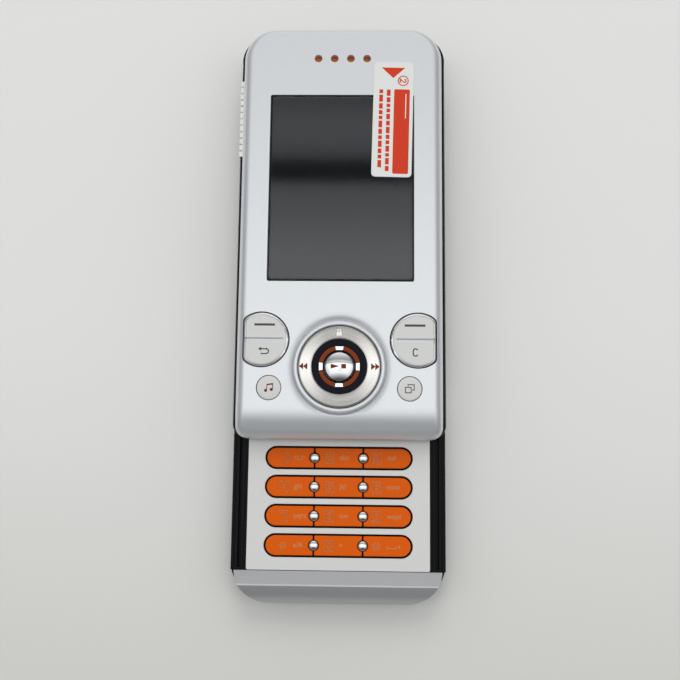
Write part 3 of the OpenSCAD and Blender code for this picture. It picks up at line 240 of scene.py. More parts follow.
MATERIALS = {
    "silver": surface("silver_paint", srgb(217, 220, 222), 0.36, metallic=0.58, coat=0.06, coat_rough=0.25,
                      vary=0.012),
    "silver_key": surface("silver_key", srgb(204, 204, 201), 0.42, metallic=0.05, coat=0.1, coat_rough=0.3,
                          vary=0.01),
    "polished": surface("polished_edge", srgb(243, 244, 245), 0.14, metallic=0.85, vary=0.01, rough_vary=0.03),
    "black": surface("black_shell", (0.003, 0.0032, 0.004), 0.42, spec=0.12, vary=0.1, grain=0.03),
    "rail": surface("black_rail", (0.003, 0.0032, 0.004), 0.3, spec=0.1, vary=0.1, grain=0.02),
    "white": surface("white_plate", srgb(206, 206, 203), 0.42, metallic=0.15, coat=0.08, coat_rough=0.35, vary=0.012),
    "grey": surface("grey_chin", srgb(180, 182, 183), 0.36, metallic=0.55, coat=0.15, coat_rough=0.3, vary=0.015),
    "orange": surface("orange_key", srgb(214, 89, 0), 0.34, spec=0.1, vary=0.035, grain=0.01),
    "chrome": surface("chrome", srgb(232, 233, 232), 0.09, metallic=1.0, vary=0.01, grain=0.004, rough_vary=0.02),
    # the ring's base colour carries a painted highlight and shade by angle
    "brushed": surface("brushed_ring", srgb(226, 223, 217), 0.25, metallic=1.0, vary=0.1, vary_scale=5200,
                       grain=0.25, grain_scale=5600, rough_vary=0.1, anisotropic=0.92, rings=True),
    "inlay": surface("black_gloss", (0.003, 0.004, 0.008), 0.16, spec=0.08, vary=0.05, grain=0.005),
    "amber": surface("amber_arc", srgb(122, 50, 12), 0.3, spec=0.12, vary=0.08, grain=0.01),
    "glass": surface("display_glass", srgb(13, 15, 18), 0.06, spec=0.15, vary=0.02, grain=0.0, rough_vary=0.01),
    "film": surface("clear_film", (0.95, 0.96, 0.98), 0.04, transmission=1.0, ior=1.4, vary=0, grain=0.002,
                    grain_scale=300, rough_vary=0),
    "label": surface("label_film", srgb(218, 220, 216), 0.35, coat=0.15, coat_rough=0.15, vary=0.01),
    "label_red": surface("label_red", srgb(204, 60, 34), 0.4, spec=0.12, vary=0.04),
    "label_line": surface("label_line", srgb(235, 226, 220), 0.4, vary=0.02),
    "ink": surface("grey_ink", srgb(70, 72, 74), 0.45, spec=0.3, vary=0.05),
    "ink_red": surface("brown_ink", srgb(112, 40, 16), 0.4, spec=0.15, vary=0.05),
    "ink_white": surface("white_ink", srgb(240, 240, 238), 0.4, vary=0.02),
    "key_print": surface("key_print", srgb(190, 128, 86), 0.5, spec=0.15, vary=0.05),
    "mesh": surface("orange_mesh", srgb(214, 116, 50), 0.5, spec=0.3, vary=0.25, vary_scale=5000, grain=0.3,
                    grain_scale=6000),
    "steel": surface("sheet_steel", srgb(176, 177, 178), 0.34, metallic=1.0, vary=0.05, vary_scale=900, grain=0.04),
    "steel_light": surface("bright_strip", srgb(236, 236, 231), 0.3, metallic=0.3, vary=0.03, grain=0.03),
    "board": surface("solder_mask", srgb(24, 92, 52), 0.4, vary=0.12, vary_scale=700, coat=0.2),
    "rubber": surface("dark_rubber", srgb(24, 24, 25), 0.75, spec=0.2, vary=0.08, grain=0.08),
    "gold": surface("gold_plate", srgb(222, 184, 104), 0.22, metallic=1.0, vary=0.03),
    "polyimide": surface("amber_film", srgb(176, 104, 26), 0.35, vary=0.08, coat=0.3),
    "cell": surface("display_cell", srgb(20, 21, 24), 0.2, vary=0.05),
    "battery": surface("battery_wrap", srgb(74, 76, 80), 0.5, vary=0.05, grain=0.03),
    "card": surface("card_plastic", srgb(232, 232, 224), 0.4, vary=0.02),
    "cream": surface("cream_carrier", srgb(214, 206, 182), 0.5, vary=0.03),
    # a painted highlight for the chin's crest
    "crest": surface("painted_crest_highlight", srgb(236, 238, 240), 0.3, metallic=0.3, vary=0.01),
    "lens": surface("lens_glass", srgb(16, 18, 28), 0.04, coat=1.0, coat_rough=0.02, vary=0.03, grain=0.0,
                    rough_vary=0.01),
    "floor": surface("floor", srgb(221, 220, 217), 0.75, spec=0.2, vary=0, grain=0.02, grain_scale=700),
}


def shade_floor():
    """Paints the floor's tone darker towards the near side, a painted falloff of the light, with faint cloudiness."""
    graph = Graph(MATERIALS["floor"])
    where = graph.add("TexCoord").outputs["Object"]
    cloud = graph.add("TexNoise", {"Vector": where, "Scale": 9}).outputs["Fac"]
    shift = graph.math("MULTIPLY_ADD", cloud, 0.02, graph.add("SeparateXYZ", {0: where}).outputs["Y"])
    # painted shade: the colour darkens towards the near side, where the light falls off
    painted_falloff = graph.map_range(shift, -0.085, 0.03, 0, 1, interpolation_type="SMOOTHSTEP")
    near, far = (*srgb(203, 202, 197), 1), (*srgb(223, 222, 220), 1)
    graph.put(graph.nodes["Principled BSDF"].inputs["Base Color"], graph.mix("RGBA", painted_falloff, near, far))


# -------------------- mesh helpers

def smooth(mesh):
    mesh.polygons.foreach_set("use_smooth", [True] * len(mesh.polygons))


def make_object(name, verts, faces, material):
    mesh = bpy.data.meshes.new(name)
    mesh.from_pydata([tuple(v) for v in verts], [], faces)
    mesh.validate()
    bm = bmesh.new()
    bm.from_mesh(mesh)
    bmesh.ops.recalc_face_normals(bm, faces=bm.faces)
    bm.to_mesh(mesh)
    bm.free()
    smooth(mesh)
    return add_object(name, mesh, material)


def add_edges(obj, width, segments=2, angle=32):
    """Rounds the sharp edges, so that they catch light as moulded ones do."""
    bevel = obj.modifiers.new("edges", "BEVEL")
    bevel.width = width * MM
    bevel.segments = segments
    bevel.limit_method = "ANGLE"
    bevel.angle_limit = math.radians(angle)
    bevel.miter_outer = "MITER_ARC"
    even_normals(obj)
    return obj


def even_normals(obj):
    """Keeps broad flat faces flat where they meet rounded edges."""
    normals = obj.modifiers.new("normals", "WEIGHTED_NORMAL")
    normals.mode = "FACE_AREA"
    normals.weight = 50
    normals.keep_sharp = True
    return obj


def finish_piece(obj, body, slot, *nodes):
    """Says what the piece rides on and hides the CAD nodes that it stands for; its slot argument is not used."""
    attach(obj, body)
    if nodes:
        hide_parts(*nodes)
    return obj


def edged_copy(node, name, material, slot, width=0, segments=2, angle=32):
    """A copy of a CAD node with its flat faces joined and, where a width is given, its edges rounded."""
    source = frame["nodes"][node]
    mesh = source.data.copy()
    if "custom_normal" in mesh.attributes:
        mesh.attributes.remove(mesh.attributes["custom_normal"])
    bm = bmesh.new()
    bm.from_mesh(mesh)
    bmesh.ops.remove_doubles(bm, verts=bm.verts, dist=1e-7)
    bmesh.ops.dissolve_limit(bm, angle_limit=math.radians(0.5), verts=bm.verts, edges=bm.edges)
    bm.to_mesh(mesh)
    bm.free()
    smooth(mesh)
    obj = add_object(name, mesh, material)
    if width:
        add_edges(obj, width, segments, angle)
    return finish_piece(obj, source["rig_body"], slot, node)


def loft(name, loops, material):
    """A closed solid through loops of (x, y, z) points in millimetres, each with the same count."""
    count, last = len(loops[0]), (len(loops) - 1) * len(loops[0])
    faces = []
    for start in range(0, last, count):
        for i in range(count):
            j = (i + 1) % count
            faces.append((start + i, start + j, start + count + j, start + count + i))
    faces += [tuple(range(count - 1, -1, -1)), tuple(range(last, last + count))]
    return make_object(name, [Vector(p) * MM for loop in loops for p in loop], faces, material)


def raised(outline, z):
    return [(x, y, z) for x, y in outline]


def prism(name, outline, z0, z1, material="silver"):
    return loft(name, [raised(outline, z0), raised(outline, z1)], material)


def lathe(name, profile, material, centre, segments):
    """A closed ring or disc turned from (r, z) points in millimetres, with its origin at centre."""
    verts, faces, index = [], [], []
    on_axis = [r < 1e-6 for r, z in profile]
    for axial, (r, z) in zip(on_axis, profile):
        if axial:
            index.append([len(verts)] * segments)
            verts.append((0, 0, z * MM))
            continue
        index.append(list(range(len(verts), len(verts) + segments)))
        for i in range(segments):
            a = 2 * math.pi * i / segments
            verts.append((r * math.cos(a) * MM, r * math.sin(a) * MM, z * MM))
    count = len(profile)
    for k in range(count - 1 if on_axis[0] and on_axis[-1] else count):
        a, b = index[k], index[(k + 1) % count]
        if on_axis[k] and on_axis[(k + 1) % count]:
            continue
        for i in range(segments):
            j = (i + 1) % segments
            corner = [a[i], a[j], b[j], b[i]]
            faces.append(tuple(v for m, v in enumerate(corner) if v not in corner[:m]))
    obj = make_object(name, verts, faces, material)
    obj.location = Vector(centre) * MM
    return obj


def post(name, r, z0, z1, material, x, y, segments):
    return lathe(name, [(0, z0), (r, z0), (r, z1), (0, z1)], material, (x, y, 0), segments)


def rounded_outline(w, y0, y1, r0, r1, inset=0.0):
    """Points of a rectangle with corners of radius r0 at y0 and r1 at y1, moved inward by inset."""
    least, steps = 0.02, 12
    near, far = max(r0 - inset, least), max(r1 - inset, least)
    x, near_y, far_y = w / 2 - inset, y0 + inset + near, y1 - inset - far
    points = []
    for cx, cy, r, start in ((x - far, far_y, far, 0), (far - x, far_y, far, 90),
                             (near - x, near_y, near, 180), (x - near, near_y, near, 270)):
        points += arc(cx, cy, r, start, start + 90, steps)
    return points


def applied(obj):
    """The object's mesh as its modifiers or its font make it."""
    bpy.context.view_layer.update()
    return bpy.data.meshes.new_from_object(obj.evaluated_get(bpy.context.evaluated_depsgraph_get()))


def boolean(obj, cutters):
    """Cuts the cutters out of the object, and removes them."""
    for cutter in cutters:
        step = obj.modifiers.new("cut", "BOOLEAN")
        step.operation = "DIFFERENCE"
        step.solver = "EXACT"
        step.object = cutter
    obj.data = applied(obj)
    obj.modifiers.clear()
    for cutter in cutters:
        bpy.data.objects.remove(cutter)
    smooth(obj.data)


def flat_piece(name, shapes, z, thickness, material):
    """Thin printed shapes: closed 2D outlines in millimetres, each with optional holes."""
    bm = bmesh.new()
    for shape in shapes:
        outer, holes = (shape["outer"], shape["holes"]) if isinstance(shape, dict) else (shape, [])
        edges = []
        for ring in [outer] + holes:
            verts = [bm.verts.new((x * MM, y * MM, z * MM)) for x, y in ring]
            edges += [bm.edges.new((verts[i], verts[(i + 1) % len(verts)])) for i in range(len(verts))]
        if holes:
            bmesh.ops.triangle_fill(bm, use_beauty=True, use_dissolve=False, edges=edges)
        else:
            bm.faces.new([e.verts[0] for e in edges])
    bmesh.ops.recalc_face_normals(bm, faces=bm.faces)
    made = bmesh.ops.extrude_face_region(bm, geom=list(bm.faces))
    lifted = [v for v in made["geom"] if isinstance(v, bmesh.types.BMVert)]
    bmesh.ops.translate(bm, verts=lifted, vec=(0, 0, thickness * MM))
    bmesh.ops.recalc_face_normals(bm, faces=bm.faces)
    mesh = bpy.data.meshes.new(name)
    bm.to_mesh(mesh)
    bm.free()
    return add_object(name, mesh, material)


def bar(x0, y0, x1, y1):
    return [(x0, y0), (x1, y0), (x1, y1), (x0, y1)]


def stroke(points, width, closed=False):
    """The outline of a line of the given width through the points."""
    count = len(points)
    left, right = [], []
    for i, (x, y) in enumerate(points):
        before = points[i - 1] if closed or i > 0 else None
        after = points[(i + 1) % count] if closed or i < count - 1 else None
        dirs = []
        if before is not None:
            dirs.append(Vector((x - before[0], y - before[1])).normalized())
        if after is not None:
            dirs.append(Vector((after[0] - x, after[1] - y)).normalized())
        along = sum(dirs, Vector((0, 0))).normalized()
        normal = Vector((-along.y, along.x))
        reach = width / 2 / max(0.4, abs(normal.dot(Vector((-dirs[0].y, dirs[0].x)))))
        left.append((x + normal.x * reach, y + normal.y * reach))
        right.append((x - normal.x * reach, y - normal.y * reach))
    if closed:
        return {"outer": left, "holes": [right]}
    return left + right[::-1]


def polar(r, degrees):
    return r * math.cos(math.radians(degrees)), r * math.sin(math.radians(degrees))


def arc(cx, cy, r, start, end, steps):
    offsets = [polar(r, start + (end - start) * i / steps) for i in range(steps + 1)]
    return [(cx + dx, cy + dy) for dx, dy in offsets]


def move(shape, dx, dy, turn=0.0):
    """The shape turned round the origin by degrees, then moved."""
    if isinstance(shape, dict):
        return {"outer": move(shape["outer"], dx, dy, turn), "holes": [move(h, dx, dy, turn) for h in shape["holes"]]}
    c, s = polar(1, turn)
    return [(dx + (x * c - y * s), dy + (x * s + y * c)) for x, y in shape]


def add_print(name, shapes, place, z, thickness, material, body, slot, turn=0.0):
    """Flat printed shapes, drawn round the origin and moved to place."""
    shapes = [move(shape, place.x, place.y, turn) for shape in shapes]
    return finish_piece(flat_piece(name, shapes, z, thickness, material), body, slot)


def low(node):
    """A node's lowest corner, in millimetres."""
    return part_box(node)[0] / MM


def high(node):
    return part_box(node)[1] / MM


def middle(node):
    return (low(node) + high(node)) / 2


# -------------------- upper half

# millimetres, as every length below that isn't handed to Blender
COVER_TOP = 14.0
COVER_FOOT = low("front_cover").z
COVER_W = high("front_cover").x - low("front_cover").x - 0.4
COVER_CORNER = 7.5  # in plan, at the far end
TOP_SQUEEZE = 0.65  # the far end's roll, as a share of the sides'
TOP_INSET = 0.25
UPPER_Y0 = low("front_cover").y
UPPER_Y1 = high("front_cover").y
COVER_ROLL = 2.25  # radius along the sides
END_ROLL = 10.0  # radius at the keypad end
END_ROLL_LEN = 6.85
NAV = Vector((0, middle("nav_ring").y, 0))
RING_R = (high("nav_ring").x - low("nav_ring").x) / 2
BEZEL_R = (high("nav_bezel").x - low("nav_bezel").x) / 2
KEY_GAP = 0.15
HOLE_FOOT, HOLE_TOP = 9, 20  # clear of the cover's roof, below and above
SEAT_Z = 13.3  # the ring's ledge, on which the inlay lies
FLANGE_Z = (11.8, 12.3)  # the keys' flanges, under the cover
D_FLAT, D_CENTRE, D_RADIUS = 21.2, 17.05, 6.2  # the D keys' straight side, round centre and radius
ROUND_KEY_R = 2.61
RING_CREST_R, RING_CROWN = 7.475, 24  # where the ring is highest, and twice its crown's radius


def end_drop(y):
    """How far the long roll at the keypad end lies below the face."""
    back = UPPER_Y0 + END_ROLL_LEN - y
    return 0.0 if back <= 0 else END_ROLL - math.sqrt(END_ROLL ** 2 - min(back, END_ROLL_LEN) ** 2)


def bend_end(obj):
    """Lowers everything above the cover's foot by the long roll."""
    full = COVER_TOP - COVER_FOOT
    for v in obj.data.vertices:
        z = v.co.z / MM
        if z > COVER_FOOT + 1e-6:
            v.co.z = (COVER_FOOT + (z - COVER_FOOT) * (1 - end_drop(v.co.y / MM) / full)) * MM


def slice_along(obj, stations, axis=(0, 1, 0)):
    """Cuts rows of edges into the mesh, across the axis."""
    bm = bmesh.new()
    bm.from_mesh(obj.data)
    for place in stations:
        bmesh.ops.bisect_plane(bm, geom=bm.verts[:] + bm.edges[:] + bm.faces[:],
                               plane_co=Vector(axis) * place * MM, plane_no=axis)
    bm.to_mesh(obj.data)
    bm.free()
    obj.data.update()


def d_outline(inset):
    """Plan of the right-hand D key's opening, moved inward by inset, with softened corners."""
    flat, r = D_FLAT - inset, D_RADIUS - inset
    corner = math.degrees(math.acos((flat - D_CENTRE) / r))
    points = arc(D_CENTRE, middle("right_soft_key").y, r, corner, 360 - corner, 120)
    top, bottom = points[0][1], points[-1][1]
    steps, passes = 48, 14
    points += [(flat, bottom + (top - bottom) * i / steps) for i in range(1, steps)]
    for _ in range(passes):
        points = [((before[0] + 2 * here[0] + after[0]) / 4, (before[1] + 2 * here[1] + after[1]) / 4)
                  for before, here, after in zip(points[-1:] + points[:-1], points, points[1:] + points[:1])]
    return points


def mirrored(points, side):
    return points if side > 0 else [(-x, y) for x, y in points][::-1]


def make_front_cover():
    """The silver cover: rolled over all round, hollow below, open for display, keys and control."""
    wall_top, steps = COVER_TOP - COVER_ROLL, 10
    levels = [(0.0, COVER_FOOT), (0.0, wall_top)]
    for i in range(1, steps + 1):
        a = math.radians(90 * i / steps)
        levels.append((COVER_ROLL * (1 - math.cos(a)), wall_top + COVER_ROLL * math.sin(a)))
    # the far end rolls over more tightly than the sides
    fixed = UPPER_Y1 - COVER_CORNER - 1.5
    loops = []
    for d, z in levels:
        stretch = (UPPER_Y1 - TOP_INSET - TOP_SQUEEZE * d - fixed) / (UPPER_Y1 - d - fixed)
        outline = rounded_outline(COVER_W, UPPER_Y0, UPPER_Y1, 2.6, COVER_CORNER, d)
        loops.append([(x, fixed + (y - fixed) * stretch if y > fixed else y, z) for x, y in outline])
    cover = loft("cover", loops, "silver")
    wall, roof = 1.3, COVER_TOP - 1.4
    inside = rounded_outline(COVER_W - 2 * wall, UPPER_Y0 + wall, UPPER_Y1 - wall, 1.3, 5.3)
    hollow = prism("hollow", inside, COVER_FOOT - 1, roof)
    slices = 22
    for solid in (cover, hollow):
        slice_along(solid, [UPPER_Y0 + 0.3 + END_ROLL_LEN * i / slices for i in range(slices)])
        bend_end(solid)
    # display opening: a pocket for the window and a smaller opening below it
    lo, hi = low("display_window"), high("display_window")
    w, gap, ledge = hi.x - lo.x, 0.1, 0.8
    pocket = rounded_outline(w + 2 * gap, lo.y - gap, hi.y + gap, 0.45, 0.45)
    opening = rounded_outline(w - 2 * ledge, lo.y + ledge, hi.y - ledge, 0.8, 0.8)
    cutters = [hollow, prism("pocket", pocket, lo.z, HOLE_TOP), prism("opening", opening, HOLE_FOOT, 13.5)]

    def drill(r, x, y, segments=96):
        cutters.append(post("hole", r, HOLE_FOOT, HOLE_TOP, "silver", x, y, segments))

    for side in (-1, 1):
        cutters.append(prism("d_hole", mirrored(d_outline(0), side), HOLE_FOOT, HOLE_TOP))
    for node in ("left_round_key", "right_round_key"):
        drill(ROUND_KEY_R + KEY_GAP, middle(node).x, middle(node).y)
    ear, pitch, count = middle("earpiece_mesh"), 3.69, 4
    for i in range(count):
        drill(0.9, ear.x + (i - (count - 1) / 2) * pitch, ear.y, 40)
    drill(RING_R + KEY_GAP, NAV.x, NAV.y)
    # the bezel's seat and the dish that sinks round it
    seat, seat_z = BEZEL_R + 0.05, COVER_TOP - 0.6
    dish_end, roll, roll_r, steps = 11.95, 3.4, 12.05, 16
    dish = [(0, seat_z), (seat, seat_z)]
    for i in range(steps + 1):
        r = seat + (dish_end - seat) * i / steps
        dish.append((r, COVER_TOP - roll + math.sqrt(roll ** 2 - (roll_r - r) ** 2)))
    dish += [(dish_end, HOLE_TOP), (0, HOLE_TOP)]
    cutters.append(lathe("dish", dish, "silver", NAV, 160))
    boolean(cover, cutters)
    add_edges(cover, 0.11, 2, 34)
    finish_piece(cover, "slider", "silver_paint", "front_cover")


def make_rear_shell():
    """The black lower shell, its far corners a little squarer than the silver cover's."""
    shell = edged_copy("slider_rear_cover", "rear_shell", "black", "black_plastic", 0.08)
    half, end = high("slider_rear_cover").x, high("slider_rear_cover").y
    old_r, new_r = 7.0, 6.2
    for v in shell.data.vertices:
        x, y = abs(v.co.x / MM) - (half - old_r), v.co.y / MM - (end - old_r)
        reach = math.hypot(x, y)
        if x <= 0 or y <= 0 or reach < 1e-6:
            continue
        turn = math.atan2(y, x)
        off = old_r - new_r
        along = off * (math.cos(turn) + math.sin(turn))
        bound = along + math.sqrt(along * along - 2 * off * off + new_r * new_r)
        grow = 1 + (bound / old_r - 1) * min(1.0, (reach / old_r) ** 2)
        v.co.x = math.copysign((half - old_r + x * grow) * MM, v.co.x)
        v.co.y = (end - old_r + y * grow) * MM


def make_soft_key(side):
    """A D key: matt face, polished rim with a fine groove inside it, and a valley across its middle."""
    name = "left_soft_key" if side < 0 else "right_soft_key"
    foot, top, cy = low(name).z, high(name).z, middle(name).y
    gap = KEY_GAP + 0.09
    levels = [(gap, FLANGE_Z[1]), (gap, top - 0.22), (gap + 0.05, top - 0.14), (gap + 0.42, top - 0.05),
              (gap + 0.43, top - 0.2), (gap + 0.56, top - 0.2), (gap + 0.57, top - 0.02), (gap + 0.8, top)]
    cap = loft(name + "_cap", [raised(mirrored(d_outline(d), side), z) for d, z in levels], "silver_key")
    face_slot, rim_slot, painted_shade_wall_slot, valley_slot = range(4)
    # the cap's side wall is dark rubber: painted shade, so that the gap round the key reads dark
    for material in ("polished", "rubber", "silver"):
        cap.data.materials.append(MATERIALS[material])
    count = len(d_outline(gap))
    for face in cap.data.polygons:
        if face.index < count * (len(levels) - 1):
            face.material_index = {0: painted_shade_wall_slot, 1: rim_slot, 2: rim_slot}.get(face.index // count, face_slot)
    # the valley is deepest on the middle line and starts a little way in from the round side
    half, depth, start, taper = 0.5, 0.2, 12.0, 0.6
    slice_along(cap, [cy + half * i / 5 for i in range(-5, 6)])
    slice_along(cap, [side * start, side * (start + taper / 2), side * (start + taper)], (1, 0, 0))
    for v in cap.data.vertices:
        off = abs(v.co.y / MM - cy)
        reach = max(0.0, min(1.0, (abs(v.co.x / MM) - start) / taper))
        if off < half and v.co.z / MM > top - 0.3:
            v.co.z -= reach * depth * (1 + math.cos(math.pi * off / half)) / 2 * MM
    for face in cap.data.polygons:
        x, y, z = face.center / MM
        if face.material_index == face_slot and z > top - 0.26 and abs(y - cy) < 0.85 * half and abs(x) > start + 0.2:
            face.material_index = valley_slot
    # the flange, dark rubber that also paints shade under the gap round the key, and the two plungers under the cover
    rim = [(max(-D_FLAT, min(D_FLAT, x)), y) for x, y in mirrored(d_outline(-0.2), side)]
    parts = [cap, prism("flange", rim, *FLANGE_Z, "rubber")]
    for dy in (-3, 3):
        parts.append(post("plunger", 0.7, foot, FLANGE_Z[0] + 0.1, "silver_key", side * D_CENTRE, cy + dy, 24))
    finish_piece(even_normals(sharp_by_angle(join(parts), 50)), name, "silver_paint", name)


def join(parts):
    """Joins meshes into the first object."""
    bm = bmesh.new()
    slots = []
    first = parts[0]
    for part in parts:
        start = len(bm.faces)
        mesh = part.data.copy()
        mesh.transform(Matrix.Translation(part.location))
        slots += [m for m in mesh.materials if m not in slots]
        own = [slots.index(m) for m in mesh.materials]
        bm.from_mesh(mesh)
        bm.faces.ensure_lookup_table()
        for face in bm.faces[start:]:
            face.material_index = own[face.material_index]
        bpy.data.meshes.remove(mesh)
    mesh = bpy.data.meshes.new(first.name)
    bm.to_mesh(mesh)
    bm.free()
    for material in slots:
        mesh.materials.append(material)
    smooth(mesh)
    first.data = mesh
    first.location = (0, 0, 0)
    for part in parts[1:]:
        bpy.data.objects.remove(part)
    return first


def sharp_by_angle(obj, angle):
    obj.data.set_sharp_from_angle(angle=math.radians(angle))
    return obj


def make_round_key(name):
    """A small round key with a softly crowned face."""
    c, foot, top, r = middle(name), low(name).z, high(name).z, ROUND_KEY_R
    stem, flange = 0.8, 3.05
    profile = [(0, foot), (stem, foot), (stem, FLANGE_Z[0]), (flange, FLANGE_Z[0]), (flange, FLANGE_Z[1]),
               (r, FLANGE_Z[1]), (r, 13.86), (r - 0.03, 13.92), (r - 0.1, 13.97), (r - 0.22, 14.0), (r - 0.6, 14.035),
               (1.4, top - 0.02), (0, top)]
    key = lathe(name + "_cap", profile, "silver_key", (c.x, c.y, 0), 72)
    finish_piece(sharp_by_angle(key, 40), name, "silver_paint", name)


def crown_z(r):
    """Height of the rocking ring's slightly crowned top at radius r."""
    return high("nav_ring").z - (r - RING_CREST_R) ** 2 / RING_CROWN


def make_bezel():
    """The fixed trim round the ring."""
    inner, foot, top = RING_R + KEY_GAP, low("nav_bezel").z, high("nav_bezel").z
    profile = [(inner, foot), (BEZEL_R, foot), (BEZEL_R, 13.86), (BEZEL_R - 0.05, 14.02), (BEZEL_R - 0.16, 14.16),
               (BEZEL_R - 0.32, 14.25), (BEZEL_R - 0.52, top), (inner + 0.28, top), (inner + 0.12, 14.24),
               (inner + 0.02, 14.14), (inner, 14.02)]
    bezel = lathe("bezel", profile, "silver", NAV, 144)
    finish_piece(sharp_by_angle(bezel, 50), "slider", "chrome_trim", "nav_bezel")


def make_ring():
    """The rocking ring, crowned and brushed round its axis, on four feet."""
    foot, under = low("nav_ring").z, 12.6
    outer, inner, bore, feet_r = RING_R, 6.0, 3.8, 7.5
    profile = [(bore, under), (outer, under), (outer, 13.98), (outer - 0.04, 14.12), (outer - 0.12, 14.2)]
    for i in range(10):
        r = outer - 0.24 - (outer - inner - 0.36) * i / 9
        profile.append((r, crown_z(r)))
    profile += [(inner + 0.04, 14.2), (inner, 14.1), (inner, SEAT_Z), (bore, SEAT_Z)]
    parts = [lathe("ring", profile, "brushed", NAV, 160)]
    for a in range(0, 360, 90):
        dx, dy = polar(feet_r, a)
        parts.append(post("foot", 0.7, foot, under + 0.05, "brushed", NAV.x + dx, NAV.y + dy, 24))
    ring = sharp_by_angle(recentre(join(parts), NAV), 40)
    finish_piece(ring, "nav_ring", "brushed_ring", "nav_ring")


def make_inlay():
    """A black disc with four amber arcs and four bright tabs let into it."""
    top, hole, rim = high("nav_inlay").z, 3.35, 5.97
    profile = [(hole, SEAT_Z), (rim, SEAT_Z), (rim, top - 0.06), (5.9, top), (4.72, top - 0.02),
               (4.66, top - 0.12), (3.5, top - 0.16), (hole, top - 0.22)]
    disc = lathe("inlay_disc", profile, "inlay", NAV, 120)
    finish_piece(sharp_by_angle(disc, 40), "nav_ring", "black_plastic", "nav_inlay")
    half = 32
    arcs = [arc(NAV.x, NAV.y, 4.56, a - half, a + half, 20) + arc(NAV.x, NAV.y, 3.62, a + half, a - half, 20)
            for a in (45, 135, 225, 315)]
    amber = flat_piece("inlay_arcs", arcs, top - 0.2, 0.12, "amber")
    finish_piece(add_edges(amber, 0.04), "nav_ring", "orange_plastic")
    tab = [(3.58, -0.8), (4.46, -0.94), (4.46, 0.94), (3.58, 0.8)]
    bright = flat_piece("inlay_tabs", [move(tab, NAV.x, NAV.y, a) for a in (0, 90, 180, 270)], top - 0.2, 0.2, "chrome")
    finish_piece(add_edges(bright, 0.09, 3), "nav_ring", "chrome_trim")


def make_select_key():
    """The chrome dome, with two plain signs that follow it."""
    foot, r, edge, rise, steps = low("select_key").z, 3.15, COVER_TOP + 0.3, 0.57, 36
    ball = (r * r + rise * rise) / (2 * rise)

    def dome_z(x, y=0):
        return edge + rise - ball + math.sqrt(ball * ball - x * x - y * y)

    profile = [(0, foot), (1.4, foot), (1.4, 12.6), (r, 12.6), (r, edge - 0.12), (r - 0.05, edge - 0.02)]
    for i in range(1, steps + 1):
        x = (r - 0.05) * (1 - i / steps)
        profile.append((x, dome_z(x)))
    dome = lathe("select_dome", profile, "chrome", NAV, 120)
    finish_piece(sharp_by_angle(dome, 50), "select_key", "chrome_trim", "select_key")
    play = [[(-1.85, -0.55), (0.1, 0.0), (-1.85, 0.55)], bar(0.45, -0.5, 1.5, 0.5)]
    glyph = flat_piece("select_glyph", fine_shapes([move(s, NAV.x, NAV.y) for s in play]), 0.006, 0.01, "ink_red")
    for v in glyph.data.vertices:
        v.co.z += dome_z(v.co.x / MM - NAV.x, v.co.y / MM - NAV.y) * MM
    finish_piece(glyph, "select_key", "orange_plastic")


def fine_shapes(shapes):
    """The shapes cut into small cells, so that a print can follow a curved face."""
    step = 0.22
    cells = []
    for shape in shapes:
        (x0, x1), (y0, y1) = [(min(values), max(values)) for values in zip(*shape)]
        nx, ny = max(1, math.ceil((x1 - x0) / step)), max(1, math.ceil((y1 - y0) / step))
        for i in range(nx):
            for j in range(ny):
                cell = clip_to_box(shape, (x0 + (x1 - x0) * i / nx, x0 + (x1 - x0) * (i + 1) / nx,
                                           y0 + (y1 - y0) * j / ny, y0 + (y1 - y0) * (j + 1) / ny))
                if len(cell) > 2:
                    cells.append(cell)
    return cells


def clip_to_box(shape, box):
    """The part of a convex outline inside a box (x0, x1, y0, y1)."""
    x0, x1, y0, y1 = box
    for axis, limit, sign in ((0, x0, 1), (0, x1, -1), (1, y0, 1), (1, y1, -1)):
        kept = []
        for i, point in enumerate(shape):
            before = shape[i - 1]
            inside, was = sign * (point[axis] - limit), sign * (before[axis] - limit)
            if (inside > 1e-9) != (was > 1e-9):
                t = was / (was - inside)
                kept.append((before[0] + (point[0] - before[0]) * t, before[1] + (point[1] - before[1]) * t))
            if inside > 1e-9:
                kept.append(point)
        shape = kept
        if not shape:
            return []
    return shape


def recentre(obj, centre):
    """Moves an object's origin to centre and leaves its shape where it is."""
    obj.data.transform(Matrix.Translation(-Vector(centre) * MM))
    obj.location = Vector(centre) * MM
    return obj


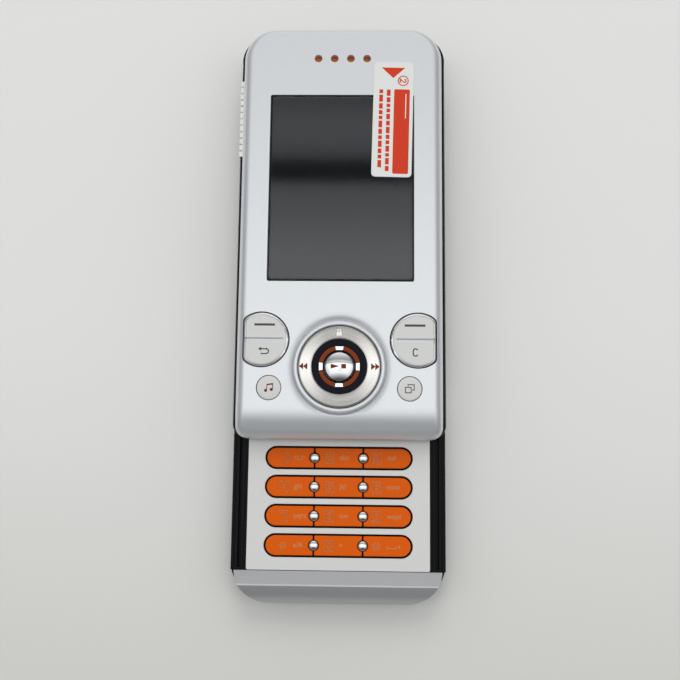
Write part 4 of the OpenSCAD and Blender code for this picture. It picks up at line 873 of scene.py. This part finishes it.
def make_key_prints():
    """Plain symbols on the function keys."""
    # drawn in place, because the arrow's bend depends on the last digits of the points where it starts
    for name, x in (("left_soft_key", -16.4), ("right_soft_key", 16.4)):
        y = middle(name).y
        shapes = [stroke([(x - 2.25, y + 3.25), (x + 2.25, y + 3.25)], 0.5)]
        if x < 0:
            bend = arc(x + 0.45, y - 2.62, 0.52, 90, -90, 10)
            shapes.append(stroke([(x - 0.9, y - 2.1), (x + 0.45, y - 2.1)] + bend + [(x - 0.75, y - 3.14)], 0.26))
            shapes.append([(x - 1.35, y - 2.1), (x - 0.62, y - 1.68), (x - 0.62, y - 2.52)])
        else:
            upper, lower = arc(x + 0.1, y - 2.35, 0.5, 20, 180, 12), arc(x + 0.1, y - 2.95, 0.5, 180, 340, 12)
            shapes.append(stroke(upper + lower, 0.27))
        finish_piece(flat_piece(name + "_print", shapes, high(name).z - 0.002, 0.006, "ink"), name, "dark_glass")
    squares = [stroke([(-0.95, -0.85), (0.3, -0.85), (0.3, 0.3), (-0.95, 0.3)], 0.2, True),
               stroke([(-0.35, 0.5), (-0.35, 0.9), (0.95, 0.9), (0.95, -0.25), (0.5, -0.25)], 0.2)]
    note = [arc(-0.62, -0.62, 0.34, 0, 337, 15), arc(0.62, -0.4, 0.34, 0, 337, 15),
            bar(-0.44, -0.62, -0.28, 0.72), bar(0.8, -0.4, 0.96, 0.94),
            [(-0.44, 0.45), (0.96, 0.68), (0.96, 1.0), (-0.44, 0.77)]]
    for name, shapes, material, slot in (("right_round_key", squares, "ink", "dark_glass"),
                                         ("left_round_key", note, "ink_red", "orange_plastic")):
        add_print(name + "_print", shapes, middle(name), high(name).z - 0.012, 0.012, material, name, slot)


def make_ring_prints():
    """Arrows and a small lock, laid on the ring's crown."""
    arrows = []
    for side in (-1, 1):
        for k in (0, 1):
            tip = side * (7.85 + 0.9 * k)
            arrows.append([(tip, NAV.y), (tip - side * 0.95, NAV.y + 0.76), (tip - side * 0.95, NAV.y - 0.76)])
    x, y = -0.1, NAV.y + 7.3
    lock = [bar(x - 0.55, y - 0.55, x + 0.55, y + 0.2), bar(x - 0.36, y + 0.2, x - 0.2, y + 0.62),
            bar(x + 0.2, y + 0.2, x + 0.36, y + 0.62), bar(x - 0.36, y + 0.62, x + 0.36, y + 0.78)]
    for name, shapes, material, slot in (("ring_arrows", arrows, "ink_red", "orange_plastic"),
                                         ("ring_lock", lock, "ink_white", "white_plastic")):
        piece = flat_piece(name, fine_shapes(shapes), 0.006, 0.01, material)
        for v in piece.data.vertices:
            v.co.z += crown_z(math.hypot(v.co.x / MM - NAV.x, v.co.y / MM - NAV.y)) * MM
        finish_piece(piece, "nav_ring", slot)


def make_window():
    """The display's glass, and the clear film on it."""
    lo, hi = low("display_window"), high("display_window")
    window = prism("window", rounded_outline(hi.x - lo.x, lo.y, hi.y, 0.4, 0.4), lo.z, hi.z, "glass")
    finish_piece(add_edges(window, 0.08), "slider", "dark_glass", "display_window")
    lo, hi = low("screen_film"), high("screen_film")
    loops = [raised(rounded_outline(hi.x - lo.x, lo.y, hi.y, 0.7, 0.7, d), z)
             for d, z in ((0, lo.z + 0.002), (0, lo.z + 0.03), (0.16, hi.z - 0.01), (0.2, hi.z))]
    film = even_normals(sharp_by_angle(loft("film", loops, "film"), 10))
    finish_piece(film, "slider", "clear_film", "screen_film")


def make_tab():
    """The film's pull tab, printed with plain shapes."""
    lo, hi, place = low("film_tab"), high("film_tab"), middle("film_tab")
    lean, half, end = -1.27, 4.5, 13.55
    outline = move(rounded_outline(2 * half, -end, end, 0.9, 0.9), place.x, place.y, lean)
    tab = add_edges(prism("tab", outline, lo.z, hi.z - 0.01, "label"), 0.03)
    finish_piece(tab, "slider", "white_plastic", "film_tab")
    ring_y = end - 4.45
    two = stroke([(-0.42, 0.3)] + arc(0, 0.3, 0.36, 160, -20, 10) + [(-0.4, -0.62), (0.46, -0.62)], 0.26)
    reds = [[(-2.8, end - 1.35), (2.55, end - 1.35), (-0.1, end - 3.85)],
            move(rounded_outline(3.55, -end + 0.75, end - 6.5, 0.35, 0.35), 1.95, 0),
            stroke(arc(2.15, ring_y, 1.12, 0, 350, 35), 0.24, True), move(two, 2.1, ring_y, -90)]
    # two columns of short dashes
    for x, lengths in ((-1.05, (1.5, 1.2, 0.8, 0.9, 1.3, 1.1, 1.5, 1.0, 0.9, 1.4, 0.8)),
                       (-2.75, (0.9, 1.7, 1.3, 1.0, 0.8, 1.6, 1.2, 0.9, 1.5, 1.1))):
        y = end - 6.6
        for length in lengths * 2:
            if y - length < 0.8 - end:
                break
            reds.append(bar(x - 0.42, y - length, x + 0.42, y))
            y -= length + 0.34
    add_print("tab_print", reds, place, hi.z - 0.012, 0.006, "label_red", "slider", "orange_plastic", lean)
    line = [bar(2.75, 0.2, 2.95, end - 7.6)]
    add_print("tab_line", line, place, hi.z - 0.008, 0.006, "label_line", "slider", "white_plastic", lean)


def make_connector():
    """The bright strip on the left side, with a row of notches."""
    strip = edged_copy("system_connector", "connector", "steel_light", "sheet_steel")
    lo, hi = low("system_connector"), high("system_connector")
    count, margin, half, depth, outside = 11, 0.6, 0.22, 0.6, -30
    pitch = (hi.y - lo.y - 2 * margin) / count
    cutters = []
    for i in range(count):
        y = lo.y + margin + pitch * (i + 0.5)
        cutters.append(prism("notch", bar(outside, y - half, lo.x + depth, y + half), lo.z + 0.4, hi.z + 1))
    boolean(strip, cutters)
    add_edges(strip, 0.05)


# -------------------- lower half

# five rows of three cells each
DIGITS = {
    "1": "..# ..# ..# ..# ..#", "2": "### ..# ### #.. ###", "3": "### ..# ### ..# ###", "4": "#.# #.# ### ..# ..#",
    "5": "### #.. ### ..# ###", "6": "### #.. ### #.# ###", "7": "### ..# ..# ..# ..#", "8": "### #.# ### #.# ###",
    "9": "### #.# ### ..# ###", "0": "### #.# #.# #.# ###",
}
GROUPS = {"star": "a/A", "2": "abc", "3": "def", "4": "ghi", "5": "jkl", "6": "mno", "7": "pqrs", "8": "tuv",
          "9": "wxyz", "0": "+"}


def outlined_cells(rows, y0, cell_w, cell_h, line):
    """Thin bars along every border between a filled and an empty cell, from x = 0 and down from y0."""
    filled = {(c, r) for r, row in enumerate(rows) for c, mark in enumerate(row) if mark == "#"}
    bars = []
    for c, r in filled:
        left, right = c * cell_w - line / 2, (c + 1) * cell_w + line / 2
        top, bottom = y0 - r * cell_h + line / 2, y0 - (r + 1) * cell_h - line / 2
        for beside, border in (((c - 1, r), (left, bottom, left + line, top)),
                               ((c + 1, r), (right - line, bottom, right, top)),
                               ((c, r - 1), (left, top - line, right, top)),
                               ((c, r + 1), (left, bottom, right, bottom + line))):
            if beside not in filled:
                bars.append(bar(*border))
    return bars


def letters(name, text, x, y, size, z, material):
    """Small print in the built-in font."""
    curve = bpy.data.curves.new(name, "FONT")
    curve.body = text
    curve.size = size * MM
    curve.extrude = 0.002 * MM
    curve.offset = 0.02 * MM
    holder = add_object(name, curve)
    mesh = applied(holder)
    bpy.data.objects.remove(holder)
    mesh.transform(Matrix.Translation(Vector((x, y, z)) * MM))
    return add_object(name, mesh, material)


def key_signs(label):
    """The signs on one key of the pad, from the left end of its print and its middle line."""
    cell_w, cell_h, line = 0.68, 0.48, 0.16
    signs = []
    if label in DIGITS:
        signs = outlined_cells(DIGITS[label].split(), 2.5 * cell_h, cell_w, cell_h, line)
    elif label == "star":
        for a in (0, 60, 120):
            dx, dy = polar(0.85, a)
            signs.append(stroke([(1 - dx, -dy), (1 + dx, dy)], line))
    else:
        for d in (-0.32, 0.32):
            signs += [bar(1 + d - 0.08, -0.95, 1 + d + 0.08, 0.95), bar(0.1, d - 0.08, 1.9, d + 0.08)]
    if label == "1":
        signs += [stroke(arc(x, 0, 0.36, 0, 345, 23), 0.15, True) for x in (3.7, 5.1)]
        signs.append(bar(3.7, -0.46, 5.1, -0.32))
    elif label == "hash":
        signs.append(stroke([(3.4, 0.05), (3.4, -0.4), (5.3, -0.4), (5.3, 0.05)], 0.15))
        signs.append([(5.7, -0.35), (6.3, -0.35), (6.0, 0.35)])
    return signs


def make_keypad():
    """The twelve keys with their prints, the plate round them and the pips between them."""
    columns = (-13.1, -3.05, 7.35)
    for i, label in enumerate("1 2 3 4 5 6 7 8 9 star 0 hash".split()):
        node = "key_" + label
        edged_copy(node, "cap_" + label, "orange", "orange_plastic", 0.22, 4)
        place = Vector((columns[i % 3], middle(node).y))
        z = high(node).z + 0.002
        add_print("print_" + label, key_signs(label), place, z - 0.004, 0.006, "key_print", node, "orange_plastic")
        if label in GROUPS:
            small = letters("group_" + label, GROUPS[label], place.x + 3.25, place.y - 0.38, 1.55, z, "key_print")
            finish_piece(small, node, "orange_plastic")
    edged_copy("keypad_plate", "plate", "white", "white_plastic", 0.16, 3)
    edged_copy("keypad_pips", "pips", "chrome", "chrome_trim", 0.05)


def make_chin():
    """The chin: its rolled end a little flatter than the CAD's, with a painted highlight along its crest."""
    chin = edged_copy("chin_cover", "chin", "grey", "grey_plastic", 0.12, 3, 20)
    end, crest, top = low("chin_cover").y, -44.8, high("chin_cover").z
    roll, slope, flatten, strip = 5.2, 4.1 / 4.55, 0.4, 0.4
    slice_along(chin, [crest - strip, crest])
    for v in chin.data.vertices:
        y, z = v.co.y / MM, v.co.z / MM
        on_roll = abs(math.hypot(y - end - roll, z - top + roll) - roll) < 0.04
        chord = top - 0.035 + (y - crest) * slope
        if on_roll and y < crest + 0.01 and z > chord:
            v.co.z = (z - flatten * (z - chord)) * MM
    # painted highlight: a strip of faces along the crest takes a bright material for the glint of light there
    chin.data.materials.append(MATERIALS["crest"])
    for face in chin.data.polygons:
        if crest - strip < face.center.y / MM < crest and face.center.z / MM > top - 0.6 and face.normal.z > 0.5:
            face.material_index = 1


def make_base():
    """The lower half's pieces, apart from its keypad."""
    sharp_by_angle(edged_copy("lower_housing", "housing", "black", "black_plastic"), 30)
    for side in ("left", "right"):
        edged_copy(side + "_rail", "rail_" + side, "rail", "black_plastic", 0.07)
    make_chin()
    edged_copy("slide_base_plate", "slide_plate", "steel", "sheet_steel", 0.1)
    edged_copy("battery_cover", "battery_lid", "silver", "silver_paint", 0.1)
    edged_copy("camera_window", "lens_window", "lens", "dark_glass", 0.06)
    edged_copy("volume_key", "volume_rocker", "black", "black_plastic", 0.18, 3)
    edged_copy("camera_key", "camera_button", "silver_key", "black_plastic", 0.18, 3)


PLAIN = {
    "slide_carriage": "steel", "upper_screws": "steel", "lower_screws": "steel", "display_frame": "steel",
    "display_panel": "cell", "upper_board": "board", "main_board": "board", "upper_dome_sheet": "steel",
    "earpiece_mesh": "mesh", "earpiece": "black", "flex_cable": "polyimide", "nav_pad": "rubber", "key_mat": "rubber",
    "battery": "battery", "battery_contacts": "gold", "sim_card": "card", "sim_holder": "steel",
    "camera_module": "black", "loudspeaker": "black", "vibration_motor": "steel", "antenna": "cream",
    "microphone": "steel",
}


def dress_plain_nodes():
    """A material of its own for each CAD node that stays."""
    for node, material in PLAIN.items():
        mesh = frame["nodes"][node].data
        mesh.materials.clear()
        mesh.materials.append(MATERIALS[material])


def make_floor():
    half = 1.2
    corners = [(-half, -half, 0), (half, -half, 0), (half, half, 0), (-half, half, 0)]
    make_object("floor", corners, [(0, 1, 2, 3)], "floor")


bpy.context.scene.view_settings.view_transform = "Standard"
set_camera()
set_world()
add_lamp("overhead", (0.0, 0.2, 1.3), (0, 0.02, 0), 1.2, 1.9, (1.0, 0.99, 0.97))
add_lamp("window", (0.03, 0.9, 0.92), (0, 0.03, 0), 0.6, 2.9, (1.0, 0.985, 0.96))
shade_floor()
make_floor()
make_front_cover()
make_rear_shell()
edged_copy("power_key", "power_button", "black", "black_plastic", 0.15, 3)
for side in (-1, 1):
    make_soft_key(side)
    make_round_key("left_round_key" if side < 0 else "right_round_key")
make_bezel()
make_ring()
make_inlay()
make_select_key()
make_key_prints()
make_ring_prints()
make_window()
make_tab()
make_connector()
make_base()
make_keypad()
dress_plain_nodes()

bpy.context.view_layer.update()
